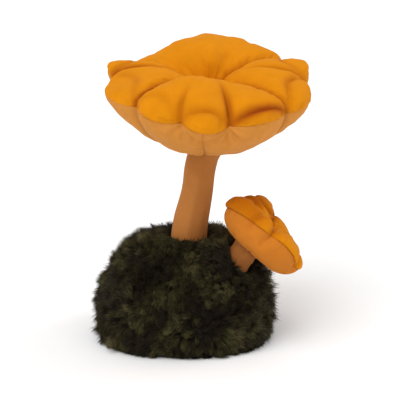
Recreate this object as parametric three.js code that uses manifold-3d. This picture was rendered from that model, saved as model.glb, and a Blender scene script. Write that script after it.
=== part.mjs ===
// A plush soft toy: a tall and a short chanterelle mushroom sewn onto a mound of fake moss.
// Millimetres, +Z up. The origin is the middle of the flat base, and the front faces -Y.
// Each mushroom cap is sewn from four top petals and four underside gores around loose filling,
// each stem is a stuffed fabric tube, and the mound is a fur cover over filling and a bag of pellets.
import * as THREE from 'three';
import { mergeVertices } from 'three/addons/utils/BufferGeometryUtils.js';
import Module from 'manifold-3d';

const wasm = await Module();
wasm.setup();

// ---- Driving dimensions ----

const GAP = 0.3; // clearance between neighbouring pieces
const VELOUR = 1.2; // thickness of the mushroom fabric
const FILL_HUB = 0.03; // share of the way from hub to seam of the filling's first ring
const FILL_TOP_END = 0.68; // where the filling leaves the top face, short of the seam
const FILL_BOWL_START = 0.4; // share of the way from seam to neck where it meets the underside
const HUB_HOLE = 2.5; // radius at which the four top petals meet
const PROFILE_SAMPLES = 96; // steps used to measure the length of a curve
const PROFILE_STEP = 0.004; // step used to find the slope of a curve

// How steeply each part of the puffed fabric rises beside its line: 1 is even, less is steeper.
const STEEPNESS = { seam: 0.6, tuck: 0.65, fold: 0.7, rim: 0.75 };

// How broadly each part of a rim's lobe swells between its ends: 1 is a sine, less is fuller.
const FULLNESS = { reach: 0.7, rise: 0.9, foldIn: 0.8, fold: 0.5 };

const DOME_POWER = 0.75; // fullness of a cap's top face: less is squarer
const RISE_POWER = 4; // how late the top face takes up the height of the rim
const FADE_POWER = 1.5; // how suddenly the rim's waves die away down the underside
const FOLD_BLEND = 1.5; // distance over which the puff changes from the cap's to the lobe's
const FOLD_SLOPE_RADIUS = 5; // least radius at which the slope of a fold is measured

const MOUND = {
  halfWidth: 59,
  halfDepth: 53.6,
  height: 71,
  planPower: 2.6, // squareness of the outline seen from above
  profilePower: 2.6, // squareness of the outline seen from the front
  rightPower: 0.3, // how much squarer the right side is than the middle
  hemTuck: 0.04, // share by which the hem draws in at the base
  fur: 4, // length of a tuft, measured out from the backing
  backing: 1.6,
  fillInset: 1, // room between the backing and the filling
  lean: 3, // sideways lean of a tuft
  leanTurn: 137.51, // degrees from one tuft's lean to the next, which spreads them evenly
  tipFloor: 0.5, // least height of a tuft's tip
};

// The fur cover's faces: columns around and rows up each side, as far as the share topRise.
const MOUND_GRID = { columns: 40, rows: 12, innerRows: 6, topRise: 0.985 };
const MOUND_FILL = { columns: 28, rises: [0.04, 0.16, 0.3, 0.45, 0.6, 0.75, 0.9] };

const BASE_PANEL = { thickness: 1.5 };
const PELLET_BAG = { halfWidth: 36, halfDepth: 32, height: 13, sides: 24, rises: [0, 0.2, 0.45, 0.7, 0.9] };

// A lobe of a cap's wavy rim runs from its start azimuth (degrees, 0 at +X, 90 at the back) to the
// next lobe's start. lift is the seam's height at its start, reach and rise are how far its middle
// stands out and up, and a fold of the given strength crosses it foldIn from the seam.
const lobe = (start, lift, reach, rise, foldIn, fold, bulge) => (
  { start, lift, reach, rise, foldIn, fold, bulge });

// A crease pulls the puffed face in along one azimuth. It grows between two distances from the hub.
const crease = (azimuth, depth, width, begins = 0, full = 1) => (
  { azimuth, depth, width, begins, full });

const TALL_CAP = {
  name: 'tall_cap',
  centre: [15.4, 0, 161.5],
  lean: 6.15, // tilt of the cap, towards the azimuth below
  toward: -76,
  turn: 76,
  tackRadius: 59, // radius of the rim between two lobes
  meanReach: 3,
  crown: 10, // height of the top face above the seam, before it is puffed
  dimple: 10,
  dimpleRadius: 22,
  puff: 6.4,
  puffs: [
    { azimuth: 92, width: 48, height: 6.2 },
    { azimuth: -118, width: 28, height: 2.6 },
    { azimuth: 15, width: 40, height: 1.2 },
  ],
  lobes: [
    lobe(-137, 4.0, 4.5, -1.5, 11, 0.3, 6.0),
    lobe(-106, 2.0, 7.5, -6.5, 11, 0.75, 7.5),
    lobe(-80, -1.0, 4.5, -1.0, 6.5, 1.0, 5.0),
    lobe(-38, 1.5, 5.0, 0, 15, 0.45, 7.0),
    lobe(3, 1.5, 5.0, 6.5, 16, 0.45, 5.0),
    lobe(36, 3.0, 5.0, 1.0, 14, 0.25, 6.0),
    lobe(64, 3.0, 5.0, 0.5, 14, 0.25, 6.0),
    lobe(92, 3.0, 5.0, 0.5, 14, 0.25, 6.0),
    lobe(120, 3.0, 5.0, 1.0, 14, 0.25, 6.0),
    lobe(150, 3.0, 7.0, 6.5, 16, 0.45, 5.0),
    lobe(174, 0.5, 6.5, 0.5, 15, 0.25, 5.5),
  ],
  petalSeams: [
    crease(-137, 0.95, 18),
    crease(-38, 0.9, 18),
    crease(36, 0.8, 22),
    crease(150, 0.8, 22),
  ],
  tucks: [
    crease(-106, 0.45, 9, 32, 60),
    crease(-80, 0.75, 12, 18, 54),
    crease(3, 0.6, 12, 14, 48),
    crease(64, 0.35, 8, 56, 68),
    crease(92, 0.35, 8, 56, 68),
    crease(120, 0.35, 8, 56, 68),
    crease(174, 0.7, 12, 12, 46),
  ],
  foldWidth: 6,
  rimWidth: 8,
  hubWidth: 6,
  bowlDepth: 33.5,
  bowlPower: 1.4,
  neck: 13,
  neckShift: 0,
  bowlPuff: 3,
  bowlRimWidth: 8,
  scallopFade: 0.28, // share of the bowl over which the rim's waves die away
  goreSeams: [crease(-93, 0.35, 5), crease(3, 0.35, 5), crease(92, 0.35, 5), crease(174, 0.35, 5)],
  pleats: [crease(-137, 0.7, 12), crease(-38, 0.7, 12), crease(36, 0.6, 12), crease(150, 0.6, 12)],
  petalNames: ['front', 'right', 'back', 'left'],
  goreNames: ['front_right', 'back_right', 'back_left', 'front_left'],
  lobeColumns: 6, // columns of faces to a lobe
  fillLobeColumns: 3,
  fillInset: 3.2, // how far the filling stays below the outer face of the fabric
  topRows: 12,
  bowlRows: 6,
};

const SHORT_CAP = {
  name: 'short_cap',
  centre: [50.6, -24, 71.4],
  lean: 43.5,
  toward: 10.2,
  turn: -18,
  tackRadius: 25.5,
  meanReach: 3,
  crown: 4,
  dimple: 5,
  dimpleRadius: 9,
  puff: 6.5,
  puffs: [{ azimuth: 95, width: 70, height: 1.5 }],
  lobes: [
    lobe(-157, 2.0, 3.5, 0, 7, 0.4, 5.0),
    lobe(-112, 5.5, 3.5, 0, 7, 0.4, 5.0),
    lobe(-67, 8.0, 3.5, 1, 7, 0.4, 5.0),
    lobe(-22, 1.0, 2.5, -1, 7, 0.4, 4.0),
    lobe(16, 2.0, 2.5, 0.5, 8, 0.4, 3.5),
    lobe(56, 7.5, 4.5, 4, 8, 0.4, 6.0),
    lobe(92, 10.5, 5.5, 6.5, 8, 0.5, 7.0),
    lobe(150, 8.0, 4.5, -1, 7, 0.4, 5.5),
  ],
  petalSeams: [
    crease(-67, 0.85, 11),
    crease(16, 0.6, 9),
    crease(92, 0.85, 11),
    crease(-157, 0.85, 11),
  ],
  tucks: [
    crease(-112, 0.6, 8, 6, 24),
    crease(-22, 0.6, 8, 6, 24),
    crease(56, 0.5, 8, 6, 24),
    crease(150, 0.6, 8, 6, 24),
  ],
  foldWidth: 4,
  rimWidth: 6,
  hubWidth: 4,
  bowlDepth: 11.5,
  bowlPower: 1.9,
  neck: 8.8,
  neckShift: -4.9, // the stem joins this far off the cap's middle, along the cap's own X
  bowlPuff: 1.5,
  bowlRimWidth: 5,
  scallopFade: 0.35,
  goreSeams: [crease(-67, 0.6, 8), crease(16, 0.6, 8), crease(92, 0.6, 8), crease(-157, 0.6, 8)],
  pleats: [],
  petalNames: ['right', 'back', 'left', 'front'],
  goreNames: ['right', 'back', 'left', 'front'],
  lobeColumns: 4,
  fillLobeColumns: 4,
  fillInset: 3.6,
  topRows: 8,
  bowlRows: 5,
};

// Each stem rises along its points from inside the mound to its cap. radii are spread evenly along it.
const TALL_STEM = {
  name: 'tall_stem',
  lower: [[2.5, 0, 54], [5.5, 0, 75], [10, 1.5, 104]],
  cap: TALL_CAP,
  radii: [12.2, 11, 10.2, 10, 10.2, TALL_CAP.neck - GAP],
  sides: 20,
  rows: 9,
};

const SHORT_STEM = {
  name: 'short_stem',
  lower: [[22.5, -24, 42.5], [30, -24, 52]],
  cap: SHORT_CAP,
  radii: [9.2, 8.6, 8.4, SHORT_CAP.neck - GAP],
  sides: 18,
  rows: 5,
};

const STEM_TONGUE = 2; // how far a stem reaches up inside its cap's neck
const STEM_APPROACH = 8; // length below the neck over which a stem runs straight along its cap's axis
const STEM_FILL = { from: 0.01, to: 0.99 }; // the shares of a stem between which it is filled

// ---- Curve helpers ----

const radians = THREE.MathUtils.degToRad;
const { clamp, lerp } = THREE.MathUtils;

// Rises from 0 to 1 over the width, steeply at first, like a cushion beside its seam.
function pillow(distance, width, power) {
  const rest = 1 - clamp(distance / width, 0, 1);
  return (1 - rest * rest) ** power;
}

function smooth(share) {
  const t = clamp(share, 0, 1);
  return t * t * (3 - 2 * t);
}

// Signed degrees from one azimuth to another, between -180 and 180.
function turnBetween(from, to) {
  return THREE.MathUtils.euclideanModulo(to - from + 180, 360) - 180;
}

// The distance from a point to the line along an azimuth, both seen from the hub.
function distanceToLine(radius, azimuth, lineAzimuth) {
  const turn = Math.min(Math.abs(turnBetween(lineAzimuth, azimuth)), 90);
  return radius * Math.sin(radians(turn));
}

// The length along a profile, as a function of its parameter from 0 to 1.
function lengthAlong(profile) {
  const lengths = [0];
  for (let i = 1; i <= PROFILE_SAMPLES; i += 1) {
    const [r0, z0] = profile((i - 1) / PROFILE_SAMPLES);
    const [r1, z1] = profile(i / PROFILE_SAMPLES);
    lengths.push(lengths[i - 1] + Math.hypot(r1 - r0, z1 - z0));
  }
  return (t) => {
    const place = clamp(t, 0, 1) * PROFILE_SAMPLES;
    const i = Math.min(Math.floor(place), PROFILE_SAMPLES - 1);
    return lerp(lengths[i], lengths[i + 1], place - i);
  };
}

// The outward unit normal [radial, vertical] of a profile that runs hub to rim, or rim to neck.
function normalAt(profile, t) {
  const [r0, z0] = profile(Math.max(t - PROFILE_STEP, 0));
  const [r1, z1] = profile(Math.min(t + PROFILE_STEP, 1));
  const length = Math.hypot(r1 - r0, z1 - z0);
  return [(z0 - z1) / length, (r1 - r0) / length];
}

// ---- The skin of a mushroom cap ----

// The seam's radius and height at an azimuth, with the fold that crosses its lobe.
function rimAt(cap, azimuth) {
  const { lobes } = cap;
  const index = lobes.findIndex((one, i) => {
    const span = THREE.MathUtils.euclideanModulo(lobes[(i + 1) % lobes.length].start - one.start, 360);
    return THREE.MathUtils.euclideanModulo(azimuth - one.start, 360) < span;
  });
  const here = lobes[index];
  const next = lobes[(index + 1) % lobes.length];
  const span = THREE.MathUtils.euclideanModulo(next.start - here.start, 360);
  const t = THREE.MathUtils.euclideanModulo(azimuth - here.start, 360) / span;
  const wave = Math.max(Math.sin(Math.PI * t), 0);
  return {
    radius: cap.tackRadius + here.reach * wave ** FULLNESS.reach,
    height: lerp(here.lift, next.lift, smooth(t)) + here.rise * wave ** FULLNESS.rise,
    foldIn: here.foldIn * wave ** FULLNESS.foldIn,
    fold: here.fold * wave ** FULLNESS.fold,
    bulge: here.bulge,
  };
}

// The unpuffed meridian of the top, from the hub (t = 0) to the seam (t = 1).
function topProfile(cap, rim) {
  return (t) => {
    const angle = t * Math.PI / 2;
    const radius = rim.radius * Math.sin(angle);
    const dome = cap.crown * Math.max(Math.cos(angle), 0) ** DOME_POWER;
    const dip = cap.dimple * Math.exp(-((radius / cap.dimpleRadius) ** 2));
    return [radius, dome - dip + rim.height * Math.sin(angle) ** RISE_POWER];
  };
}

// The unpuffed meridian of the underside, from the seam (t = 0) to the neck (t = 1).
function bowlProfile(cap, rim) {
  const power = 2 / cap.bowlPower;
  const mean = cap.tackRadius + cap.meanReach;
  return (t) => {
    const angle = t * Math.PI / 2;
    const fade = Math.exp(-((t / cap.scallopFade) ** FADE_POWER));
    const outer = mean + (rim.radius - mean) * fade;
    const radius = (outer - cap.neck) * Math.max(Math.cos(angle), 0) ** power + cap.neck;
    return [radius, rim.height * fade - cap.bowlDepth * Math.sin(angle) ** power];
  };
}

// How much of the puff is left beside a set of creases.
function creased(creases, azimuth, run, steepness) {
  return creases.reduce((left, one) => {
    const grown = smooth((run - one.begins) / (one.full - one.begins));
    const beside = pillow(distanceToLine(run, azimuth, one.azimuth), one.width, steepness);
    return left * (1 - one.depth * grown * (1 - beside));
  }, 1);
}

// Returns top(t, azimuth, inset) and bowl(t, azimuth, inset): points of the cap's faces, moved in
// by the inset, in the cap's own frame with its seam near Z = 0.
function capSkin(cap) {
  const level = { radius: cap.tackRadius, height: 0 };
  const topRun = lengthAlong(topProfile(cap, level));
  const bowlRun = lengthAlong(bowlProfile(cap, { radius: cap.tackRadius + cap.meanReach, height: 0 }));
  const rimRun = topRun(1);
  const neckRun = bowlRun(1);

  // seam is the end of the profile at the rim, where the fabric stands upright.
  function place(profile, t, azimuth, out, lift, seam) {
    const [radius, height] = profile(t);
    const [radial, vertical] = t === seam ? [1, 0] : normalAt(profile, t);
    const reach = radius + radial * out;
    const angle = radians(azimuth);
    const point = new THREE.Vector3(reach * Math.cos(angle), reach * Math.sin(angle), height);
    point.z += vertical * out + lift;
    return point;
  }

  // The height that the puffed fabric stands off the top meridian.
  function topPuff(t, azimuth, rim) {
    const run = topRun(t);
    const line = rimRun - rim.foldIn;
    const slope = (rimAt(cap, azimuth + 1).foldIn - rimAt(cap, azimuth - 1).foldIn) / radians(2);
    const toFold = Math.abs(run - line) / Math.hypot(1, slope / Math.max(run, FOLD_SLOPE_RADIUS));
    const wide = cap.puffs.reduce((sum, one) => (
      sum + one.height * Math.exp(-((turnBetween(one.azimuth, azimuth) / one.width) ** 2))), cap.puff);
    const outer = 1 / (1 + Math.exp((line - run) / FOLD_BLEND));
    return lerp(wide, rim.bulge, outer)
      * creased(cap.petalSeams, azimuth, run, STEEPNESS.seam)
      * creased(cap.tucks, azimuth, run, STEEPNESS.tuck)
      * (1 - rim.fold * (1 - pillow(toFold, cap.foldWidth, STEEPNESS.fold)))
      * pillow(rimRun - run, cap.rimWidth, STEEPNESS.rim)
      * (1 - Math.exp(-((run / cap.hubWidth) ** 2)));
  }

  function top(t, azimuth, inset) {
    const rim = rimAt(cap, azimuth);
    return place(topProfile(cap, rim), t, azimuth, topPuff(t, azimuth, rim) - inset, GAP, 1);
  }

  function bowl(t, azimuth, inset) {
    const rim = rimAt(cap, azimuth);
    const run = bowlRun(t);
    const [radius] = bowlProfile(cap, rim)(t);
    const puff = cap.bowlPuff
      * creased(cap.goreSeams, azimuth, radius, STEEPNESS.seam)
      * creased(cap.pleats, azimuth, radius, STEEPNESS.seam)
      * pillow(run, cap.bowlRimWidth, STEEPNESS.rim)
      * pillow(neckRun - run, cap.bowlRimWidth, STEEPNESS.rim);
    const point = place(bowlProfile(cap, rim), t, azimuth, puff - inset, -GAP, 0);
    point.x += cap.neckShift * smooth(t);
    return point;
  }

  return { top, bowl };
}

// ---- Closed meshes ----

// A closed geometry from corner points and faces, turned to face out.
function closedGeometry(points, triangles) {
  let volume = 0;
  const cross = new THREE.Vector3();
  triangles.forEach(([a, b, c]) => {
    volume += points[a].dot(cross.crossVectors(points[b], points[c]));
  });
  const index = triangles.flatMap(([a, b, c]) => (volume > 0 ? [a, b, c] : [a, c, b]));
  const geometry = new THREE.BufferGeometry();
  geometry.setAttribute('position', new THREE.Float32BufferAttribute(points.flatMap((p) => p.toArray()), 3));
  geometry.setIndex(index);
  return geometry;
}

const quad = (a, b, c, d) => [[a, b, c], [a, c, d]];

// A sheet with a thickness: pointAt(row share, column share, inner) gives both of its faces.
function sheet(rows, columns, pointAt) {
  const points = [];
  const at = (side, i, j) => (side * (rows + 1) + i) * (columns + 1) + j;
  [false, true].forEach((inner) => {
    for (let i = 0; i <= rows; i += 1) {
      for (let j = 0; j <= columns; j += 1) points.push(pointAt(i / rows, j / columns, inner));
    }
  });
  const triangles = [];
  for (let i = 0; i < rows; i += 1) {
    for (let j = 0; j < columns; j += 1) {
      triangles.push(...quad(at(0, i, j), at(0, i + 1, j), at(0, i + 1, j + 1), at(0, i, j + 1)));
      triangles.push(...quad(at(1, i, j), at(1, i, j + 1), at(1, i + 1, j + 1), at(1, i + 1, j)));
    }
  }
  const end = columns;
  for (let i = 0; i < rows; i += 1) {
    triangles.push(...quad(at(0, i, 0), at(1, i, 0), at(1, i + 1, 0), at(0, i + 1, 0)));
    triangles.push(...quad(at(0, i + 1, end), at(1, i + 1, end), at(1, i, end), at(0, i, end)));
  }
  for (let j = 0; j < columns; j += 1) {
    triangles.push(...quad(at(0, 0, j + 1), at(1, 0, j + 1), at(1, 0, j), at(0, 0, j)));
    triangles.push(...quad(at(0, rows, j), at(1, rows, j), at(1, rows, j + 1), at(0, rows, j + 1)));
  }
  return closedGeometry(points, triangles);
}

// A closed body from rings of points in order. loop joins the last ring to the first, as in a
// tube with a wall; otherwise each end ring is closed by a fan around its middle.
function ringBody(rings, loop) {
  const sides = rings[0].length;
  const points = rings.flat();
  const at = (i, j) => (i % rings.length) * sides + (j % sides);
  const triangles = [];
  for (let i = 0; i < rings.length - (loop ? 0 : 1); i += 1) {
    for (let j = 0; j < sides; j += 1) {
      triangles.push(...quad(at(i, j), at(i + 1, j), at(i + 1, j + 1), at(i, j + 1)));
    }
  }
  if (!loop) {
    const last = rings.length - 1;
    const middle = (ring) => ring.reduce((sum, p) => sum.add(p), new THREE.Vector3()).divideScalar(sides);
    points.push(middle(rings[0]), middle(rings[last]));
    for (let j = 0; j < sides; j += 1) {
      triangles.push([at(0, j), at(0, j + 1), points.length - 2]);
      triangles.push([at(last, j + 1), at(last, j), points.length - 1]);
    }
  }
  return closedGeometry(points, triangles);
}

// Evenly spaced azimuths around a full turn, and shares from 0 to 1.
const azimuths = (count) => Array.from({ length: count }, (_, i) => (i * 360) / count);
const shares = (count) => Array.from({ length: count + 1 }, (_, i) => i / count);

function toManifold(geometry) {
  const bare = geometry.clone();
  bare.deleteAttribute('normal');
  bare.deleteAttribute('uv');
  const merged = mergeVertices(bare, 1e-4);
  return new wasm.Manifold(new wasm.Mesh({
    numProp: 3,
    vertProperties: new Float32Array(merged.attributes.position.array),
    triVerts: new Uint32Array(merged.index.array),
  }));
}

// The geometry left after the cutters are taken from it.
function cut(geometry, cutters) {
  const solid = cutters.reduce((left, cutter) => left.subtract(toManifold(cutter)), toManifold(geometry));
  const { vertProperties, triVerts } = solid.getMesh();
  const result = new THREE.BufferGeometry();
  result.setAttribute('position', new THREE.BufferAttribute(vertProperties, 3));
  result.setIndex(new THREE.BufferAttribute(triVerts, 1));
  return result;
}

function mesh(name, geometry, color, roughness) {
  const flat = geometry.clone();
  flat.computeVertexNormals();
  const made = new THREE.Mesh(flat, new THREE.MeshStandardMaterial({ color, roughness, metalness: 0 }));
  made.name = name;
  return made;
}

// ---- Materials ----

const orangeVelour = (name, geometry) => mesh(name, geometry, '#e6960f', 0.9);
const tanVelour = (name, geometry) => mesh(name, geometry, '#cb893f', 0.9);
const stemVelour = (name, geometry) => mesh(name, geometry, '#ae713d', 0.9);
const mossFur = (name, geometry) => mesh(name, geometry, '#28241a', 0.95);
const baseCloth = (name, geometry) => mesh(name, geometry, '#2b2620', 0.95);
const whiteFibre = (name, geometry) => mesh(name, geometry, '#ece8df', 1);
const bagCloth = (name, geometry) => mesh(name, geometry, '#d9d4c8', 0.85);

// ---- Caps ----

// Azimuths that divide every lobe into equal parts, so that the faces meet along the rim.
function lobeAzimuths(cap, parts) {
  return cap.lobes.flatMap((one, i) => {
    const next = cap.lobes[(i + 1) % cap.lobes.length];
    const span = THREE.MathUtils.euclideanModulo(next.start - one.start, 360);
    return shares(parts).slice(0, parts).map((share) => one.start + span * share);
  });
}

// A sewn panel between two seams. Its sides stop half a gap short of each seam, which lies at a
// fixed azimuth about the cap's middle, or about its shifted neck at the end of the underside.
function capPanel(cap, face, start, end, rows, first) {
  const skin = capSkin(cap)[face];
  const span = THREE.MathUtils.euclideanModulo(end - start, 360);
  const inside = lobeAzimuths(cap, cap.lobeColumns)
    .map((azimuth) => THREE.MathUtils.euclideanModulo(azimuth - start, 360))
    .filter((turn) => turn > 0 && turn < span)
    .sort((a, b) => a - b);
  const turns = [0, ...inside, span];
  return sheet(rows, turns.length - 1, (row, column, inner) => {
    const t = lerp(first, 1, row);
    const inset = inner ? VELOUR : 0;
    const turn = turns[Math.round(column * (turns.length - 1))];
    const middle = skin(t, start + turn, inset);
    const shift = face === 'bowl' ? cap.neckShift : 0;
    const side = THREE.MathUtils.radToDeg(GAP / 2 / Math.hypot(middle.x - shift, middle.y));
    return skin(t, start + clamp(turn, side, span - side), inset);
  });
}

function capPanels(cap, face, seams, names, rows, first) {
  return names.map((name, i) => {
    const end = seams[(i + 1) % seams.length].azimuth;
    return [name, capPanel(cap, face, seams[i].azimuth, end, rows, first)];
  });
}

function capFilling(cap) {
  const { top, bowl } = capSkin(cap);
  const around = lobeAzimuths(cap, cap.fillLobeColumns);
  const rings = (face, rows, from, to) => shares(rows).map((row) => (
    around.map((azimuth) => face(lerp(from, to, row), azimuth, cap.fillInset))));
  return ringBody([
    ...rings(top, cap.topRows - 2, FILL_HUB, FILL_TOP_END),
    ...rings(bowl, cap.bowlRows - 1, FILL_BOWL_START, 1),
  ], false);
}

function capMatrix(cap) {
  return new THREE.Matrix4().makeTranslation(...cap.centre)
    .multiply(new THREE.Matrix4().makeRotationZ(radians(cap.toward)))
    .multiply(new THREE.Matrix4().makeRotationY(radians(cap.lean)))
    .multiply(new THREE.Matrix4().makeRotationZ(radians(cap.turn)));
}

function makeCap(cap) {
  const group = new THREE.Group();
  group.applyMatrix4(capMatrix(cap));
  const hub = (2 / Math.PI) * Math.asin(HUB_HOLE / cap.tackRadius);
  capPanels(cap, 'top', cap.petalSeams, cap.petalNames, cap.topRows, hub).forEach(([name, panel]) => {
    group.add(orangeVelour(`${cap.name}_top_${name}`, panel));
  });
  capPanels(cap, 'bowl', cap.goreSeams, cap.goreNames, cap.bowlRows, 0).forEach(([name, panel]) => {
    group.add(tanVelour(`${cap.name}_underside_${name}`, panel));
  });
  group.add(whiteFibre(`${cap.name}_filling`, capFilling(cap)));
  return group;
}

// ---- Stems ----

function stemCurve(stem) {
  const matrix = capMatrix(stem.cap);
  const { neckShift, bowlDepth } = stem.cap;
  const joint = [STEM_APPROACH, 0, -STEM_TONGUE].map((below) => (
    new THREE.Vector3(neckShift, 0, -bowlDepth - below).applyMatrix4(matrix)));
  return new THREE.CatmullRomCurve3([...stem.lower.map((p) => new THREE.Vector3(...p)), ...joint]);
}

function stemRadius(stem, share) {
  const place = share * (stem.radii.length - 1);
  const i = Math.min(Math.floor(place), stem.radii.length - 2);
  return lerp(stem.radii[i], stem.radii[i + 1], smooth(place - i));
}

// Rings of points around the stem, its outer face moved out by the offset.
function stemRings(stem, offset, from, to) {
  const curve = stemCurve(stem);
  return shares(stem.rows).map((row) => {
    const share = lerp(from, to, row);
    const centre = curve.getPoint(share);
    const along = curve.getTangent(share);
    const side = new THREE.Vector3(0, 1, 0).cross(along).normalize();
    const back = along.clone().cross(side);
    return azimuths(stem.sides).map((azimuth) => centre.clone()
      .addScaledVector(side, Math.cos(radians(azimuth)) * (stemRadius(stem, share) + offset))
      .addScaledVector(back, Math.sin(radians(azimuth)) * (stemRadius(stem, share) + offset)));
  });
}

function makeStem(stem) {
  const outer = stemRings(stem, 0, 0, 1);
  const inner = stemRings(stem, -VELOUR, 0, 1).reverse();
  const filling = stemRings(stem, -VELOUR - GAP, STEM_FILL.from, STEM_FILL.to);
  return [
    stemVelour(`${stem.name}_cover`, ringBody([...outer, ...inner], true)),
    whiteFibre(`${stem.name}_filling`, ringBody(filling, false)),
  ];
}

// The room under a leaning cap, where it presses the fur down.
function capRoom(cap) {
  const { bowl } = capSkin(cap);
  const around = lobeAzimuths(cap, cap.lobeColumns);
  const rings = shares(cap.bowlRows).map((t) => around.map((azimuth) => bowl(t, azimuth, -2 * GAP)));
  return ringBody(rings, false).applyMatrix4(capMatrix(cap));
}

// The room that a stem takes in the mound, with its clearance.
function stemRoom(stem) {
  const rings = stemRings(stem, GAP, 0, 1);
  const below = stemCurve(stem).getTangent(0).multiplyScalar(-GAP);
  rings[0].forEach((point) => point.add(below));
  return ringBody(rings, false);
}

// ---- Mound ----

// A point of the mound at an azimuth and at a share of the way from its hem (0) to its top (1).
function moundPoint(azimuth, rise, inset) {
  const { planPower, profilePower, rightPower, hemTuck } = MOUND;
  const angle = radians(azimuth);
  const halfWidth = MOUND.halfWidth - inset;
  const halfDepth = MOUND.halfDepth - inset;
  const plan = (Math.abs(Math.cos(angle) / halfWidth) ** planPower
    + Math.abs(Math.sin(angle) / halfDepth) ** planPower) ** (-1 / planPower);
  const power = 2 / (profilePower + rightPower * Math.cos(angle));
  const climb = rise * Math.PI / 2;
  const level = Math.sin(climb);
  const radius = plan * Math.max(Math.cos(climb), 0) ** power * (1 - hemTuck * (1 - level) ** 3);
  return new THREE.Vector3(
    radius * Math.cos(angle),
    radius * Math.sin(angle),
    (MOUND.height - inset) * level ** power,
  );
}

const moundRing = (rise, inset, count = MOUND_GRID.columns, turn = 0) => (
  azimuths(count).map((azimuth) => moundPoint(azimuth + turn, rise, inset)));

// The fur cover: every face of its outer skin rises to the tip of a leaning tuft.
function furCover() {
  const { columns, rows, innerRows, topRise } = MOUND_GRID;
  const wall = MOUND.fur + MOUND.backing;
  const column = 360 / columns;
  // Every other ring turns half a column, so that the tufts don't line up.
  const outer = shares(rows).map((t, i) => moundRing(t * topRise, MOUND.fur, columns, (i % 2) * column / 2));
  const inner = shares(innerRows).map((t) => moundRing(t * topRise, wall));
  const points = [...outer.flat(), ...inner.flat()];
  const at = (i, j) => i * columns + (j % columns);
  const innerStart = outer.length;
  const triangles = [];
  for (let i = 0; i < rows; i += 1) {
    for (let j = 0; j < columns; j += 1) {
      const turn = (i * columns + j) * MOUND.leanTurn;
      const azimuth = (j + 0.75) * column;
      const tip = moundPoint(azimuth, (i + 0.5) / rows * topRise, 0);
      tip.x += MOUND.lean * Math.cos(radians(turn));
      tip.z = Math.max(tip.z + MOUND.lean * Math.sin(radians(turn)), MOUND.tipFloor);
      const corners = [at(i, j), at(i, j + 1), at(i + 1, j + 1), at(i + 1, j)];
      points.push(tip);
      corners.forEach((corner, k) => triangles.push([corner, corners[(k + 1) % 4], points.length - 1]));
    }
  }
  for (let j = 0; j < columns; j += 1) {
    triangles.push(...quad(at(0, j), at(innerStart, j), at(innerStart, j + 1), at(0, j + 1)));
    for (let i = 0; i < innerRows; i += 1) {
      const k = innerStart + i;
      triangles.push(...quad(at(k, j), at(k + 1, j), at(k + 1, j + 1), at(k, j + 1)));
    }
  }
  points.push(moundPoint(0, 1, MOUND.fur), moundPoint(0, 1, wall));
  for (let j = 0; j < columns; j += 1) {
    triangles.push([at(rows, j), at(rows, j + 1), points.length - 2]);
    triangles.push([at(innerStart + innerRows, j + 1), at(innerStart + innerRows, j), points.length - 1]);
  }
  return closedGeometry(points, triangles);
}

function basePanel() {
  const inset = MOUND.fur + MOUND.backing + GAP;
  return ringBody([0, BASE_PANEL.thickness].map((z) => (
    moundRing(0, inset).map((p) => new THREE.Vector3(p.x, p.y, z)))), false);
}

function moundFilling() {
  const inset = MOUND.fur + MOUND.backing + MOUND.fillInset;
  const floor = BASE_PANEL.thickness + GAP;
  const rings = MOUND_FILL.rises.map((rise) => moundRing(rise, inset, MOUND_FILL.columns));
  rings[0].forEach((p) => p.setZ(floor));
  return ringBody(rings, false);
}

// A flat-bottomed bag of pellets, bulging out and up, moved out by the offset.
function pelletBag(offset) {
  const { halfWidth, halfDepth, height, sides, rises } = PELLET_BAG;
  const floor = BASE_PANEL.thickness + 2 * GAP;
  const rings = rises.map((rise) => azimuths(sides).map((azimuth) => {
    const swell = Math.sqrt(1 - rise * rise);
    return new THREE.Vector3(
      (halfWidth * swell + offset) * Math.cos(radians(azimuth)),
      (halfDepth * swell + offset) * Math.sin(radians(azimuth)),
      rise === 0 ? floor - 2 * offset : floor + height * rise + offset,
    );
  }));
  return ringBody(rings, false);
}

function makeMound() {
  const rooms = [stemRoom(TALL_STEM), stemRoom(SHORT_STEM)];
  return [
    mossFur('mound_fur_cover', cut(furCover(), [...rooms, capRoom(SHORT_CAP)])),
    baseCloth('mound_base_panel', basePanel()),
    whiteFibre('mound_filling', cut(moundFilling(), [...rooms, pelletBag(2 * GAP)])),
    bagCloth('mound_pellet_bag', pelletBag(0)),
  ];
}

// ---- Assembly ----

const toy = new THREE.Group();
toy.add(...makeMound());
toy.add(...makeStem(TALL_STEM), makeCap(TALL_CAP));
toy.add(...makeStem(SHORT_STEM), makeCap(SHORT_CAP));

export default toy;
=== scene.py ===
"""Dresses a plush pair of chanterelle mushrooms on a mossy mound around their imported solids.

Every shape is worked out in millimetres in the row frame, +Z up and the front facing -Y, and
goes into its mesh in metres.
"""

import logging
import math
from dataclasses import dataclass, field
from enum import Enum
from typing import Callable, Optional, Sequence

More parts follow.
